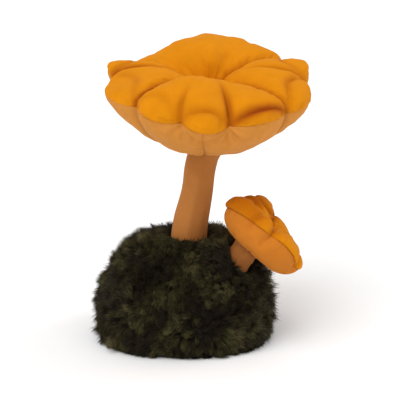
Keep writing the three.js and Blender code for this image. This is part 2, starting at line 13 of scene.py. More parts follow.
import bpy
import numpy as np
from bpy.types import ID, Material, Node, NodeSocket, NodeTree, Object
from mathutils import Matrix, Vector


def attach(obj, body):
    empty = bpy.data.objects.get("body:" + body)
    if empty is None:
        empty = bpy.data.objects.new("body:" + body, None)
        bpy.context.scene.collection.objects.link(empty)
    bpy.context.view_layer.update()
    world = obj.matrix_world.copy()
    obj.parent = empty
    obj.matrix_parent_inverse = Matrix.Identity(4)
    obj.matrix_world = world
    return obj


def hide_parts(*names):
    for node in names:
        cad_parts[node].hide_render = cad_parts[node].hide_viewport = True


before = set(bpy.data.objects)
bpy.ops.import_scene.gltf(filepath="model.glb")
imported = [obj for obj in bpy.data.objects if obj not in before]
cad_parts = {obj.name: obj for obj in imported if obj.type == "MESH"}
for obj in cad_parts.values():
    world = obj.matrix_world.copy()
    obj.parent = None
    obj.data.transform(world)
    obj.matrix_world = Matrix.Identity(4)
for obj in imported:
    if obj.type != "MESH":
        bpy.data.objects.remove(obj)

log = logging.getLogger("plush_chanterelles")

MM = 0.001
BODY = "root"
UV_MAP = "OFBake"
VELOUR = 1.2  # thickness of the mushroom fabric
SEAM_GAP = 0.008  # room between two panels along a seam
TINY = 1e-12  # keeps a division by a length from zero
WAVE_STRETCH = (0.75, 1.6)  # least and greatest stretch of a random wave
GATHER_STRETCHES = (0.83, 1.0, 1.31)  # stretches of the waves that make gathers

Array = np.ndarray


class Slot(Enum):
    """The record's material slots."""

    ORANGE = "orange_velour"
    TAN = "tan_velour"
    STEM = "stem_velour"
    FUR = "moss_fur"
    CLOTH = "base_cloth"
    FIBRE = "fibre_filling"
    BAG = "pellet_bag"


# ---- Curves and fields ----


def pillow(distance: Array, width: float, power: float) -> Array:
    """Rises like a cushion: (1 - (1 - distance / width) squared) to the power."""
    rest = 1 - np.clip(distance / width, 0, 1)
    return (1 - rest * rest) ** power


def bell(distance: Array, width: float) -> Array:
    """A bell of height 1: e to the minus (distance / width) squared."""
    return np.exp(-((distance / width) ** 2))


def smooth(share: Array) -> Array:
    """Blends from 0 to 1 with level ends: 3 t squared - 2 t cubed."""
    t = np.clip(share, 0, 1)
    return t * t * (3 - 2 * t)


def turn_between(start: float, end: Array) -> Array:
    """Signed degrees from one azimuth to another, between -180 and 180."""
    return (end - start + 180) % 360 - 180


def distance_to_line(radius: Array, azimuth: Array, line: float) -> Array:
    """Distance from points to the line along an azimuth: radius times the sine of the turn."""
    turn = np.minimum(np.abs(turn_between(line, azimuth)), 90)
    return radius * np.sin(np.radians(turn))


def unit(vectors: Array) -> Array:
    """Vectors scaled to length 1 along their last axis."""
    return vectors / np.maximum(np.linalg.norm(vectors, axis=-1, keepdims=True), TINY)


def crowded(count: int, amount: float) -> Array:
    """Shares from 0 to 1, crowded towards both ends: s - amount x sin(2 pi s) / (2 pi)."""
    share = np.linspace(0, 1, count)
    return share - amount * np.sin(2 * np.pi * share) / (2 * np.pi)


@dataclass(frozen=True)
class Lumps:
    """A smooth random field in space: the mean of plane waves with random directions."""

    size: float  # about the distance between two lumps, in millimetres
    seed: int  # seed of the random draw
    waves: int = 28  # number of waves

    def at(self, points: Array) -> Array:
        """The field at points.

        Formula: the sum of sines of (wave vector . point + phase), over the root of half the
        number of waves, so that its spread is about 1.

        Args:
            points: coordinates with any leading shape.

        Returns:
            Values spread about 0.
        """
        draw = np.random.default_rng(self.seed)
        direction = unit(draw.normal(size=(self.waves, points.shape[-1])))
        pitch = 2 * np.pi / (self.size * draw.uniform(*WAVE_STRETCH, self.waves))
        phase = draw.uniform(0, 2 * np.pi, self.waves)
        total = np.zeros(points.shape[:-1])
        for k, f, p in zip(direction, pitch, phase):
            total += np.sin((points @ k) * f + p)
        return total / math.sqrt(self.waves / 2)


@dataclass(frozen=True)
class Gathers:
    """Small uneven gathers beside a seam."""

    spacing: float  # mean distance between two gathers
    depth: float  # depth of the deepest
    reach: float  # distance over which they fade
    seed: int  # seed of the random draw

    def wave(self, along: Array) -> Array:
        """The share of the depth along the seam.

        Formula: half of 1 plus the mean of three sines whose pitches are near the spacing.

        Args:
            along: distance along the seam.

        Returns:
            Shares from 0 to 1.
        """
        draw = np.random.default_rng(self.seed)
        total = sum(
            np.sin(2 * np.pi * along / (self.spacing * stretch) + draw.uniform(0, 2 * np.pi))
            for stretch in GATHER_STRETCHES
        )
        return 0.5 + total / (2 * len(GATHER_STRETCHES))

    def at(self, along: Array, distance: Array) -> Array:
        """How deep the gathers are: depth x wave x a bell of the distance from the seam."""
        return self.depth * (self.wave(along) * bell(distance, self.reach))


# ---- Meshes ----


def linked(name: str, data: ID) -> Object:
    """A new object of the scene around its mesh, light or camera."""
    made = bpy.data.objects.new(name, data)
    bpy.context.scene.collection.objects.link(made)
    return made


def mesh_object(
    name: str,
    points: Array,
    quads: Array,
    triangles: Optional[Array] = None,
    uv: Optional[Array] = None,
    values: Optional[dict[str, Array]] = None,
    walls: int = 0,
) -> Object:
    """Puts arrays into a smooth-shaded mesh object, turned to face out.

    Args:
        name: piece name.
        points: vertex places in millimetres.
        quads: four vertex numbers a face.
        triangles: three vertex numbers a face, after the quads.
        uv: map coordinates for each corner, in face order.
        values: named numbers for each vertex.
        walls: how many of the last quads are the edges of a sheet, which are shaded flat.

    Returns:
        The new object, at the origin.
    """
    triangles = np.zeros((0, 3), int) if triangles is None else triangles
    fans = [quads[:, [0, 1, 2]], quads[:, [0, 2, 3]], triangles]
    a, b, c = (np.concatenate([fan[:, k] for fan in fans]) for k in range(3))
    volume = np.einsum("ij,ij->i", points[a], np.cross(points[b], points[c])).sum()
    corners = np.concatenate([quads.ravel(), triangles.ravel()])
    sizes = np.concatenate([np.full(len(quads), 4), np.full(len(triangles), 3)])
    starts = np.concatenate([[0], np.cumsum(sizes)[:-1]])
    if volume < 0:
        order = np.arange(len(corners))
        parts = ((order[:quads.size], 4), (order[quads.size:], 3))
        order = np.concatenate([part.reshape(-1, size)[:, ::-1].ravel() for part, size in parts])
        corners = corners[order]
        uv = None if uv is None else uv[order]
    mesh = bpy.data.meshes.new(name)
    mesh.vertices.add(len(points))
    mesh.vertices.foreach_set("co", (points * MM).astype(np.float32).ravel())
    mesh.loops.add(len(corners))
    mesh.loops.foreach_set("vertex_index", corners.astype(np.int32))
    mesh.polygons.add(len(sizes))
    mesh.polygons.foreach_set("loop_start", starts.astype(np.int32))
    mesh.polygons.foreach_set("loop_total", sizes.astype(np.int32))
    is_smooth = np.ones(len(sizes), bool)
    is_smooth[len(quads) - walls:len(quads)] = False
    mesh.polygons.foreach_set("use_smooth", is_smooth)
    if uv is not None:
        layer = mesh.uv_layers.new(name=UV_MAP)
        layer.data.foreach_set("uv", uv.astype(np.float32).ravel())
    for key, numbers in (values or {}).items():
        attribute = mesh.attributes.new(key, "FLOAT", "POINT")
        attribute.data.foreach_set("value", numbers.astype(np.float32).ravel())
    mesh.update()
    mesh.validate()
    return linked(name, mesh)


def grid_quads(rows: int, columns: int, wrap: bool = False) -> Array:
    """Faces of a grid of points numbered row by row.

    Args:
        rows: number of rows of points.
        columns: number of columns of points.
        wrap: whether the last column joins the first.

    Returns:
        Four vertex numbers a face.
    """
    i = np.arange(rows - 1)[:, None]
    j = np.arange(columns if wrap else columns - 1)[None]
    k = (j + 1) % columns
    faces = [i * columns + j, (i + 1) * columns + j, (i + 1) * columns + k, i * columns + k]
    return np.stack(faces, -1).reshape(-1, 4)


def inner_sheet(outer: Array, thickness: float) -> Array:
    """A sheet's inner face: each point moved in along unit(cross(change down, change along))."""
    down, along = np.gradient(outer, axis=0), np.gradient(outer, axis=1)
    return outer - thickness * unit(np.cross(down, along))


# Shares of a piece's map: from side to side, and what a panel's outer face, inner face and
# edges take of its height.
MAP_SIDES = (0.01, 0.99)
OUTER_MAP, INNER_MAP, EDGE_MAP = (0.01, 0.84), (0.86, 0.95), (0.965, 0.99)


def sheet_object(name: str, outer: Array, inner: Array, crease: Array) -> Object:
    """A fabric panel: two faces joined by a wall along its four edges.

    Args:
        name: piece name.
        outer: grid of the outer face.
        inner: grid of the inner face.
        crease: the painted light at each point, from 0 in the painted shade down in a seam to 1.

    Returns:
        The closed panel.
    """
    rows, columns = outer.shape[:2]
    count = rows * columns
    front = grid_quads(rows, columns)
    back = front[:, ::-1] + count
    grid = np.arange(count).reshape(rows, columns)
    loop = np.concatenate([grid[0, :-1], grid[:-1, -1], grid[-1, :0:-1], grid[:0:-1, 0]])
    after = np.roll(loop, -1)
    walls = np.stack([loop, after, after + count, loop + count], -1)
    u, v = np.meshgrid(np.linspace(*MAP_SIDES, columns), np.linspace(0, 1, rows))
    place = np.stack([u, v], -1).reshape(-1, 2)
    shares = np.linspace(*MAP_SIDES, len(loop) + 1)
    corners = ((0, 0), (1, 0), (1, 1), (0, 1))
    wall_uv = np.stack([
        np.stack([shares[far:far + len(loop)], np.full(len(loop), EDGE_MAP[up])], -1)
        for far, up in corners
    ], 1).reshape(-1, 2)

    def mapped(faces: Array, band: tuple[float, float]) -> Array:
        """Map coordinates of grid faces, squeezed into a band of the map."""
        at = place[faces.ravel() % count].copy()
        at[:, 1] = band[0] + at[:, 1] * (band[1] - band[0])
        return at

    uv = np.concatenate([mapped(front, OUTER_MAP), mapped(back, INNER_MAP), wall_uv])
    return mesh_object(
        name,
        np.concatenate([outer.reshape(-1, 3), inner.reshape(-1, 3)]),
        np.concatenate([front, back, walls]),
        uv=uv,
        values={"painted_light": np.concatenate([crease.ravel(), crease.ravel()])},
        walls=len(walls),
    )


def tube_object(name: str, outer: Array, inner: Array, crease: Array) -> Object:
    """A fabric tube with a wall: rings of the outer face, then the inner face's, closed in a loop.

    Args:
        name: piece name.
        outer: rings by sides by 3.
        inner: the same rings inside the fabric.
        crease: the painted light at each point, from 0 in the painted shade down in a seam to 1.

    Returns:
        The closed tube.
    """
    rings = np.concatenate([outer, inner[::-1]])
    sides = rings.shape[1]
    points = rings.reshape(-1, 3)
    count = len(points)
    quads = grid_quads(len(rings) + 1, sides, wrap=True) % count
    i, j = np.meshgrid(np.arange(len(rings)), np.arange(sides), indexing="ij")
    u = np.stack([j, j, j + 1, j + 1], -1) / sides
    v = np.stack([i, i + 1, i + 1, i], -1) / len(rings)
    uv = np.stack([u, v], -1).reshape(-1, 2) * (MAP_SIDES[1] - MAP_SIDES[0]) + MAP_SIDES[0]
    full = np.concatenate([crease, crease[::-1]])
    return mesh_object(name, points, quads, uv=uv, values={"painted_light": full})


def body_object(name: str, rings: Array) -> Object:
    """A closed body from rings of points, its two ends closed by fans.

    Args:
        name: piece name.
        rings: rings by sides by 3.

    Returns:
        The closed body.
    """
    count, sides = rings.shape[:2]
    points = np.concatenate([rings.reshape(-1, 3), [rings[0].mean(0), rings[-1].mean(0)]])
    j = np.arange(sides)
    k = (j + 1) % sides
    last = (count - 1) * sides
    first = np.stack([j, k, np.full(sides, count * sides)], -1)
    final = np.stack([last + k, last + j, np.full(sides, count * sides + 1)], -1)
    quads = grid_quads(count, sides, wrap=True)
    return mesh_object(name, points, quads, np.concatenate([first, final]))


def dress(
    piece: Object,
    material: Material,
    nodes: Sequence[str] = (),
) -> Object:
    """Gives a piece its material and its body, and hides the CAD nodes that it stands for.

    Args:
        piece: the finished piece.
        material: its finish.
        nodes: CAD nodes that it replaces.

    Returns:
        The piece.
    """
    piece.data.materials.clear()
    piece.data.materials.append(material)
    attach(piece, BODY)
    if nodes:
        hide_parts(*nodes)
    log.info("%s: %d faces", piece.name, len(piece.data.polygons))
    return piece


# ---- Finishes ----


def linear(red: int, green: int, blue: int) -> tuple[float, float, float, float]:
    """A screen colour, 0 to 255, as the linear colour that a shader takes."""
    share = np.array([red, green, blue]) / 255
    low = share / 12.92
    high = ((share + 0.055) / 1.055) ** 2.4
    return (*np.where(share <= 0.04045, low, high).tolist(), 1.0)


class Graph:
    """A node tree with short calls to add and join nodes."""

    def __init__(self, tree: NodeTree) -> None:
        """Keeps the tree that the calls work on."""
        self.tree = tree

    def put(self, target: NodeSocket, value: object) -> None:
        """Joins a socket to an input, or sets the input to a plain value."""
        if isinstance(value, NodeSocket):
            self.tree.links.new(value, target)
        else:
            target.default_value = value

    def fill(self, node: Node, inputs: dict) -> None:
        """Puts values or sockets into a node's inputs, by name or number."""
        for key, value in inputs.items():
            self.put(node.inputs[key], value)

    def add(self, kind: str, inputs: Optional[dict] = None, **settings: object) -> Node:
        """Adds a node.

        Args:
            kind: Blender's name of the node's type, without "ShaderNode".
            inputs: values or sockets for its inputs, by name or number.
            settings: attributes of the node.

        Returns:
            The node.
        """
        node = self.tree.nodes.new(kind if kind.startswith("NodeGroup") else "ShaderNode" + kind)
        for key, value in settings.items():
            setattr(node, key, value)
        self.fill(node, inputs or {})
        return node

    def math(self, operation: str, first: object, second: object, clamp: bool = False) -> NodeSocket:
        """Joins two numbers by a Math node and returns its result."""
        node = self.add("Math", {0: first, 1: second}, operation=operation, use_clamp=clamp)
        return node.outputs[0]

    def weighed(self, value: object, by: float, plus: object) -> NodeSocket:
        """The value times a factor, plus another value."""
        return self.math("ADD", self.math("MULTIPLY", value, by), plus)

    def mix(self, factor: object, first: object, second: object, blend: str = "MIX") -> NodeSocket:
        """Mixes two colours and returns the result."""
        node = self.add("Mix", data_type="RGBA", blend_type=blend)
        sockets = {s.identifier: s for s in node.inputs}
        for key, value in (("Factor_Float", factor), ("A_Color", first), ("B_Color", second)):
            self.put(sockets[key], value)
        return next(s for s in node.outputs if s.identifier == "Result_Color")

    def shaded(self, colour: object, bright: NodeSocket) -> NodeSocket:
        """A colour multiplied by a grey of the given brightness."""
        grey = self.add("CombineXYZ", {0: bright, 1: bright, 2: bright}).outputs[0]
        return self.mix(1.0, colour, grey, "MULTIPLY")

    def noise(self, vector: object, size: float, detail: float, rough: float = 0.5) -> NodeSocket:
        """Noise whose lumps are about the given size in millimetres, from 0 to 1."""
        inputs = {"Vector": vector, "Scale": 1 / (size * MM), "Detail": detail, "Roughness": rough}
        return self.add("TexNoise", inputs).outputs["Fac"]

    def bump(self, height: NodeSocket, distance: float, strength: float) -> NodeSocket:
        """The normal of a relief whose depth is given in millimetres."""
        inputs = {"Height": height, "Distance": distance * MM, "Strength": strength}
        return self.add("Bump", inputs).outputs["Normal"]

    def ramp(self, factor: NodeSocket, colours: Sequence[tuple]) -> NodeSocket:
        """Colours spread evenly over a factor.

        Args:
            factor: a number from 0 to 1.
            colours: the colours, from 0 to 1.

        Returns:
            The colour.
        """
        node = self.add("ValToRGB", {"Fac": factor})
        elements = node.color_ramp.elements
        while len(elements) < len(colours):
            elements.new(0.5)
        for number, (element, colour) in enumerate(zip(elements, colours)):
            element.position = number / (len(colours) - 1)
            element.color = colour
        return node.outputs["Color"]


def shader_group(
    name: str,
    takes: Sequence[tuple[str, str]],
    gives: Sequence[tuple[str, str]],
    build: Callable[[Graph, dict], dict],
) -> NodeTree:
    """Makes a shader node group once.

    Args:
        name: the group's name.
        takes: (name, socket type) of each input.
        gives: (name, socket type) of each output.
        build: adds the nodes, from the input sockets by name, and returns the outputs by name.

    Returns:
        The group.
    """
    tree = bpy.data.node_groups.new(name, "ShaderNodeTree")
    for way, sockets in (("INPUT", takes), ("OUTPUT", gives)):
        for label, kind in sockets:
            tree.interface.new_socket(label, in_out=way, socket_type="NodeSocket" + kind)
    graph = Graph(tree)
    start = graph.add("NodeGroupInput")
    end = graph.add("NodeGroupOutput")
    made = build(graph, {label: start.outputs[label] for label, _ in takes})
    for label, socket in made.items():
        tree.links.new(socket, end.inputs[label])
    return tree


def build_nap(graph: Graph, given: dict) -> dict:
    """Short pile: brushed patches, fine grain, and painted shade, a deeper colour mixed in down in
    the seams, folds and hollows.

    Args:
        graph: the group's nodes.
        given: the Vector and Colour sockets, the colour of the painted shade, and the painted light
            that mixes it in where it is below 1.

    Returns:
        Colour, Roughness and Height sockets.
    """
    patch = graph.noise(given["Vector"], 9, 3, 0.55)
    grain = graph.noise(given["Vector"], 0.9, 3, 0.65)
    pile = graph.noise(given["Vector"], 0.3, 2, 0.6)
    bright = graph.weighed(patch, 0.2, graph.weighed(grain, 0.14, 0.83))
    brushed = graph.shaded(given["Colour"], bright)
    return {
        # Painted shade: the deeper colour is mixed in where the painted light falls below 1.
        "Colour": graph.mix(given["Lightness"], given["Deep"], brushed),
        "Roughness": graph.weighed(grain, 0.12, 0.8),
        "Height": graph.weighed(pile, 0.55, graph.math("MULTIPLY", grain, 0.45)),
    }


def build_weave(graph: Graph, given: dict) -> dict:
    """Plain weave: two crossed sets of threads with uneven shade.

    Args:
        graph: the group's nodes.
        given: Vector and Colour sockets, and Threads, the threads to a metre.

    Returns:
        Colour and Height sockets.
    """
    part = graph.add("SeparateXYZ", {0: given["Vector"]})
    turns = graph.math("MULTIPLY", given["Threads"], math.pi)
    across = graph.math("SINE", graph.math("MULTIPLY", part.outputs[0], turns), 0.0)
    along = graph.math("SINE", graph.math("MULTIPLY", part.outputs[1], turns), 0.0)
    crossed = graph.math("MULTIPLY", across, along)
    height = graph.weighed(crossed, 0.5, 0.5)
    wear = graph.noise(given["Vector"], 4, 3)
    bright = graph.weighed(height, 0.35, graph.weighed(wear, 0.5, 0.55))
    return {"Colour": graph.shaded(given["Colour"], bright), "Height": height}


def new_finish(name: str) -> tuple[Material, Graph, Node]:
    """A new material, the graph of its nodes and its Principled shader."""
    made = bpy.data.materials.new(name)
    made.use_nodes = True
    return made, Graph(made.node_tree), made.node_tree.nodes["Principled BSDF"]


@dataclass(frozen=True)
class Velour:
    """A short-pile fabric."""

    name: str  # the finish's name
    colour: tuple  # colour of the full face
    painted_shade_colour: tuple  # colour of the painted shade down in seams, folds and hollows
    sheen: float  # weight of the pile's soft shine
    sheen_tint: tuple  # colour of that shine
    sheen_roughness: float = 0.45  # how broad that shine is
    gloss: float = 0.12  # strength of the plain reflection
    relief: float = 0.25  # depth of the pile's relief, in millimetres
    bump: float = 0.35  # strength of that relief

    def material(self, nap: NodeTree) -> Material:
        """Makes the material around the shared nap group.

        Args:
            nap: the nap group.

        Returns:
            The material.
        """
        made, graph, shader = new_finish(self.name)
        group = graph.add("Group", {
            "Vector": graph.add("TexCoord").outputs["Object"],
            "Colour": self.colour,
            "Deep": self.painted_shade_colour,
            "Lightness": graph.add("Attribute", attribute_name="painted_light").outputs["Fac"],
        }, node_tree=nap)
        graph.fill(shader, {
            "Base Color": group.outputs["Colour"],
            "Roughness": group.outputs["Roughness"],
            "Normal": graph.bump(group.outputs["Height"], self.relief, self.bump),
            "Specular IOR Level": self.gloss,
            "Sheen Weight": self.sheen,
            "Sheen Roughness": self.sheen_roughness,
            "Sheen Tint": self.sheen_tint,
        })
        return made


@dataclass(frozen=True)
class Fur:
    """Long pile, coloured along and between its strands by the pieces' own map."""

    name: str  # the finish's name
    root: tuple  # colour at the backing: the pile's dark base, deepened as painted shade down in the pile
    shades: tuple  # colours of the strands' middles, from the first column of the map to the last
    tips: tuple  # colours of the strands' tips, in the same order: frosted tips, made lighter still as a painted highlight where they catch the light
    sheen_tint: tuple  # colour of the soft shine
    sheen: float = 0.04  # weight of that shine
    gloss: float = 0.2  # strength of the plain reflection

    def material(self) -> Material:
        """Makes the material, whose colour depends on the map alone."""
        made, graph, shader = new_finish(self.name)
        place = graph.add("SeparateXYZ", {0: graph.add("UVMap", uv_map=UV_MAP).outputs["UV"]})
        column, along = place.outputs[0], place.outputs[1]
        middle, tip = graph.ramp(column, self.shades), graph.ramp(column, self.tips)
        # Each strand darkens to its root, its dark base deepened as painted shade, and lightens to
        # its tip, frosted and partly a painted highlight.
        lower = graph.mix(graph.math("MULTIPLY", along, 2.2, clamp=True), self.root, middle)
        rise = graph.math("SUBTRACT", graph.math("MULTIPLY", along, 2.0), 1.0, clamp=True)
        graph.fill(shader, {
            "Base Color": graph.mix(rise, lower, tip),
            "Roughness": graph.weighed(along, -0.15, 0.85),
            "Specular IOR Level": self.gloss,
            "Sheen Weight": self.sheen,
            "Sheen Tint": self.sheen_tint,
        })
        return made


@dataclass(frozen=True)
class Woven:
    """A plain woven cloth."""

    name: str  # the finish's name
    colour: tuple  # colour of the threads
    threads: float  # threads to a millimetre
    relief: float = 0.2  # depth of the weave's relief, in millimetres
    bump: float = 0.5  # strength of that relief
    roughness: float = 0.9  # roughness of the threads

    def material(self, weave: NodeTree) -> Material:
        """Makes the material around the shared weave group.

        Args:
            weave: the weave group.

        Returns:
            The material.
        """
        made, graph, shader = new_finish(self.name)
        group = graph.add("Group", {
            "Vector": graph.add("TexCoord").outputs["Object"],
            "Colour": self.colour,
            "Threads": self.threads / MM,
        }, node_tree=weave)
        graph.fill(shader, {
            "Base Color": group.outputs["Colour"],
            "Normal": graph.bump(group.outputs["Height"], self.relief, self.bump),
            "Roughness": self.roughness,
        })
        return made


@dataclass(frozen=True)
class Fibre:
    """Loose stuffing fibre."""

    name: str  # the finish's name
    colour: tuple  # colour of the fibre
    relief: float = 1.5  # depth of the fibre's relief, in millimetres
    bump: float = 0.6  # strength of that relief
    roughness: float = 1.0  # roughness of the fibre

    def material(self) -> Material:
        """Makes the material: stretched noise for matted fibre."""
        made, graph, shader = new_finish(self.name)
        tufts = graph.noise(graph.add("TexCoord").outputs["Object"], 3, 5, 0.7)
        graph.fill(shader, {
            "Base Color": graph.shaded(self.colour, graph.weighed(tufts, 0.4, 0.7)),
            "Normal": graph.bump(tufts, self.relief, self.bump),
            "Roughness": self.roughness,
        })
        return made


class Wardrobe:
    """Every finish of the toy, made once."""

    def __init__(self) -> None:
        """Makes the shared groups and the materials."""
        nap = shader_group(
            "velour_nap",
            [("Vector", "Vector"), ("Colour", "Color"), ("Deep", "Color"), ("Lightness", "Float")],
            [("Colour", "Color"), ("Roughness", "Float"), ("Height", "Float")],
            build_nap,
        )
        weave = shader_group(
            "plain_weave",
            [("Vector", "Vector"), ("Colour", "Color"), ("Threads", "Float")],
            [("Colour", "Color"), ("Height", "Float")],
            build_weave,
        )

        def velour(name: str, full: tuple, painted_shade_colour: tuple, sheen: float, tint: tuple) -> Material:
            """A velour from its screen colours."""
            return Velour(name, linear(*full), linear(*painted_shade_colour), sheen, linear(*tint)).material(nap)

        # Each velour: its full colour, the colour of its painted shade in seams and hollows, its
        # sheen weight and its sheen tint.
        self.orange, self.tan, self.warm_tan, self.stem = (
            velour("orange_cap_velour", (214, 132, 3), (150, 60, 0), 0.06, (255, 180, 40)),
            velour("tan_underside_velour", (204, 134, 56), (140, 78, 24), 0.12, (255, 210, 150)),
            # A warmer copy of the tan underside velour for the short cap, tinted as a painted
            # reflection of orange light.
            velour("warm_tan_underside_velour", (196, 116, 34), (128, 66, 14), 0.12, (255, 200, 130)),
            velour("brown_stem_velour", (186, 120, 60), (110, 56, 22), 0.12, (240, 190, 140)),
        )
        self.fur = Fur(
            "moss_fur",
            linear(10, 7, 2),
            (linear(24, 16, 8), linear(32, 25, 11), linear(44, 40, 15), linear(60, 54, 30)),
            (linear(36, 27, 16), linear(57, 46, 27), linear(94, 92, 42), linear(142, 130, 92)),
            linear(190, 180, 150),
        ).material()
        self.backing = Woven("fur_backing_cloth", linear(24, 20, 12), 1.6).material(weave)
        self.cloth = Woven("base_panel_cloth", linear(46, 41, 34), 1.4).material(weave)
        self.bag = Woven("pellet_bag_cloth", linear(217, 212, 200), 1.2).material(weave)
        self.fibre = Fibre("white_filling_fibre", linear(236, 232, 223)).material()


# ---- Caps ----


@dataclass(frozen=True)
class Lobe:
    """A lobe of a cap's wavy rim, from its start azimuth to the next lobe's."""

    start: float  # azimuth in degrees, 0 at the cap's own +X
    lift: float  # height of the rim seam at the start
    reach: float  # how far its middle stands out
    rise: float  # how far its middle stands up
    fold_in: float  # distance of the fold that crosses it from the rim seam
    fold: float  # strength of that fold
    bulge: float  # height of the padding outside the fold
    shade: float = 0.2  # how dark the painted shade is down in the fold, from 0 to 1
    rim_shade: float = 0  # how dark the painted shade is in the hollow beside the rim seam, from 0 to 1
    blend: float = 1.5  # distance over which the padding changes at the fold


@dataclass(frozen=True)
class Crease:
    """A line along which the padded face is pulled in."""

    azimuth: float  # where it runs, in degrees
    depth: float  # share of the padding that it takes away
    width: float  # distance over which the padding comes back
    begins: float = 0  # distance from the hub at which it starts
    full: float = 1  # distance from the hub at which it has its depth
    shade: float = 0.5  # how dark the painted shade is down in it, from 0 to 1

    def grown(self, run: Array) -> Array:
        """The share of its depth that it has at distances from the hub."""
        return smooth((run - self.begins) / (self.full - self.begins))

    def distance(self, azimuth: Array, run: Array) -> Array:
        """Distance to it from points at azimuths and distances from the hub."""
        return distance_to_line(run, azimuth, self.azimuth)

    def left(self, azimuth: Array, run: Array, steepness: float) -> Array:
        """The padding left beside it: 1 - depth x growth x (1 - pillow(distance))."""
        beside = pillow(self.distance(azimuth, run), self.width, steepness)
        return 1 - self.depth * self.grown(run) * (1 - beside)

    def lit(self, azimuth: Array, run: Array) -> Array:
        """The painted light beside it, lowered by its painted shade: 1 - shade x growth x a bell of
        the distance.
        """
        dark = bell(self.distance(azimuth, run), SHADE_WIDTH)
        return 1 - self.shade * self.grown(run) * dark


@dataclass(frozen=True)
class Puff:
    """Extra padding about an azimuth."""

    azimuth: float  # its middle, in degrees
    width: float  # its spread, in degrees
    height: float  # how much it adds


@dataclass(frozen=True)
class CapSizes:
    """The sizes of a sewn mushroom cap, in millimetres and degrees.

    Attributes:
        name, centre: its name, and the place of the middle of its rim.
        lean, toward, turn: how far it leans, towards which azimuth, and its own turn.
        tack_radius, mean_reach: radius of the rim between two lobes, and the mean rim's reach.
        crown, dimple, dimple_radius: height of the dome, depth and spread of the dip in it.
        puff, puffs, bowl_puff, bowl_puffs: padding of the top and of the underside.
        lobes, petal_seams, tucks, gore_seams, pleats: its lobes and creases.
        tugs: tacks on the rim from which drag wrinkles fan out.
        fold_width, rim_width, hub_width, bowl_rim_width, neck_width: distance over which the
            padding comes back from each edge.
        bowl_depth, bowl_power: depth and squareness of the underside.
        neck, neck_shift, hub_hole: radius and offset of the neck, radius of the hub's hole.
        scallop_fade: share of the underside over which the rim's waves die away.
        petal_names, gore_names: names of the panels, each from its own seam to the next.
        top_rows, bowl_rows, column_pitch: rows of points, and the room between two columns.
        underside: the finish of its underside.
    """

    name: str
    centre: tuple[float, float, float]
    lean: float
    toward: float
    turn: float
    tack_radius: float
    crown: float
    dimple: float
    dimple_radius: float
    puff: float
    puffs: tuple[Puff, ...]
    lobes: tuple[Lobe, ...]
    petal_seams: tuple[Crease, ...]
    tucks: tuple[Crease, ...]
    fold_width: float
    rim_width: float
    hub_width: float
    bowl_depth: float
    bowl_power: float
    neck: float
    neck_shift: float
    bowl_puff: float
    bowl_puffs: tuple[Puff, ...]
    bowl_rim_width: float
    neck_width: float
    scallop_fade: float
    gore_seams: tuple[Crease, ...]
    pleats: tuple[Crease, ...]
    tugs: tuple[Puff, ...]
    petal_names: tuple[str, ...]
    gore_names: tuple[str, ...]
    top_rows: int
    bowl_rows: int
    column_pitch: float
    underside: str
    mean_reach: float = 3.0
    hub_hole: float = 0.3


# How steeply each part of the padding rises beside its line, less is steeper.
SEAM_STEEPNESS, TUCK_STEEPNESS, FOLD_STEEPNESS, RIM_STEEPNESS = 0.6, 0.65, 0.7, 0.75
# How broadly each part of a lobe swells between its ends, less is fuller.
REACH_FULLNESS, RISE_FULLNESS, FOLD_IN_FULLNESS, FOLD_FULLNESS = 0.7, 0.9, 0.8, 0.3
DOME_POWER, RISE_POWER, FADE_POWER = 0.75, 4, 1.5
FOLD_SLOPE_RADIUS = 5.0  # least radius at which the slope of a fold is measured
BROAD_LUMPS, FINE_LUMPS = Lumps(26, 11), Lumps(8, 12)
TOP_LUMPS, BOWL_LUMPS = (0.45, 0.18), (0.4, 0.15)  # heights of the broad and the fine lumps
TOP_RIM_GATHERS, BOWL_RIM_GATHERS = Gathers(4.2, 0.7, 4.0, 7), Gathers(4.2, 0.6, 4.0, 7)
NECK_GATHERS = Gathers(5, 0.6, 7.0, 9)
NECK_AROUND = 24  # radius at which the gathers of a neck are counted
PETAL_GATHERS, GORE_GATHERS = (4.6, 0.75), (5.2, 0.5)  # spacing and depth beside the seams
GATHER_REACH = 0.9  # their reach, as a share of their spacing
EDGE_WIDTH = 1.5  # distance from an edge over which its gathers begin
NECK_PAINTED_SHADE = 0.45  # how dark the painted shade is in the gathers of a neck
TUG_RAYS, TUG_SPIN, TUG_CLEAR = 9, 0.12, 4  # rays of a tack's drag wrinkles, bend and bare middle
SHADE_WIDTH = 2.4  # reach of the painted shade beside a crease
FILLING_FROM_RIM = 4.5  # room between a cap's filling and its rim seam
FILLING_FROM_HUB = 0.03  # share of the meridian at which the filling and the cloth begin
FILLING_INSET = (0.14, 0.2)  # share of the way inwards at the hub, and its growth to the rim
FILLING_GRID = (36, 144)  # its rows and columns
SHEET_CROWDING, ROW_CROWDING = 0.35, 0.3  # how far columns and rows crowd towards their seams
PANEL_ENDS = (0.0005, 0.9995)  # shares of a meridian at which panels stop short of the rim seam
HOLLOW_WIDTH = 6.6  # reach of the painted shade in the hollow beside a rim seam
END_BLEND = 0.6  # share of a lobe, halved, over which its padding blends at each end
PROFILE_STEP = 0.002  # step in share for the slope of a meridian
RUN_SAMPLES = 400  # samples for the length of a meridian

# How the simulated velour weighs, stretches and bends.
CLOTH = {
    "quality": 6,
    "mass": 0.3,
    "tension_stiffness": 15,
    "compression_stiffness": 8,
    "shear_stiffness": 5,
    "bending_stiffness": 0.6,
    "pin_stiffness": 1,
    "use_pressure": True,
}


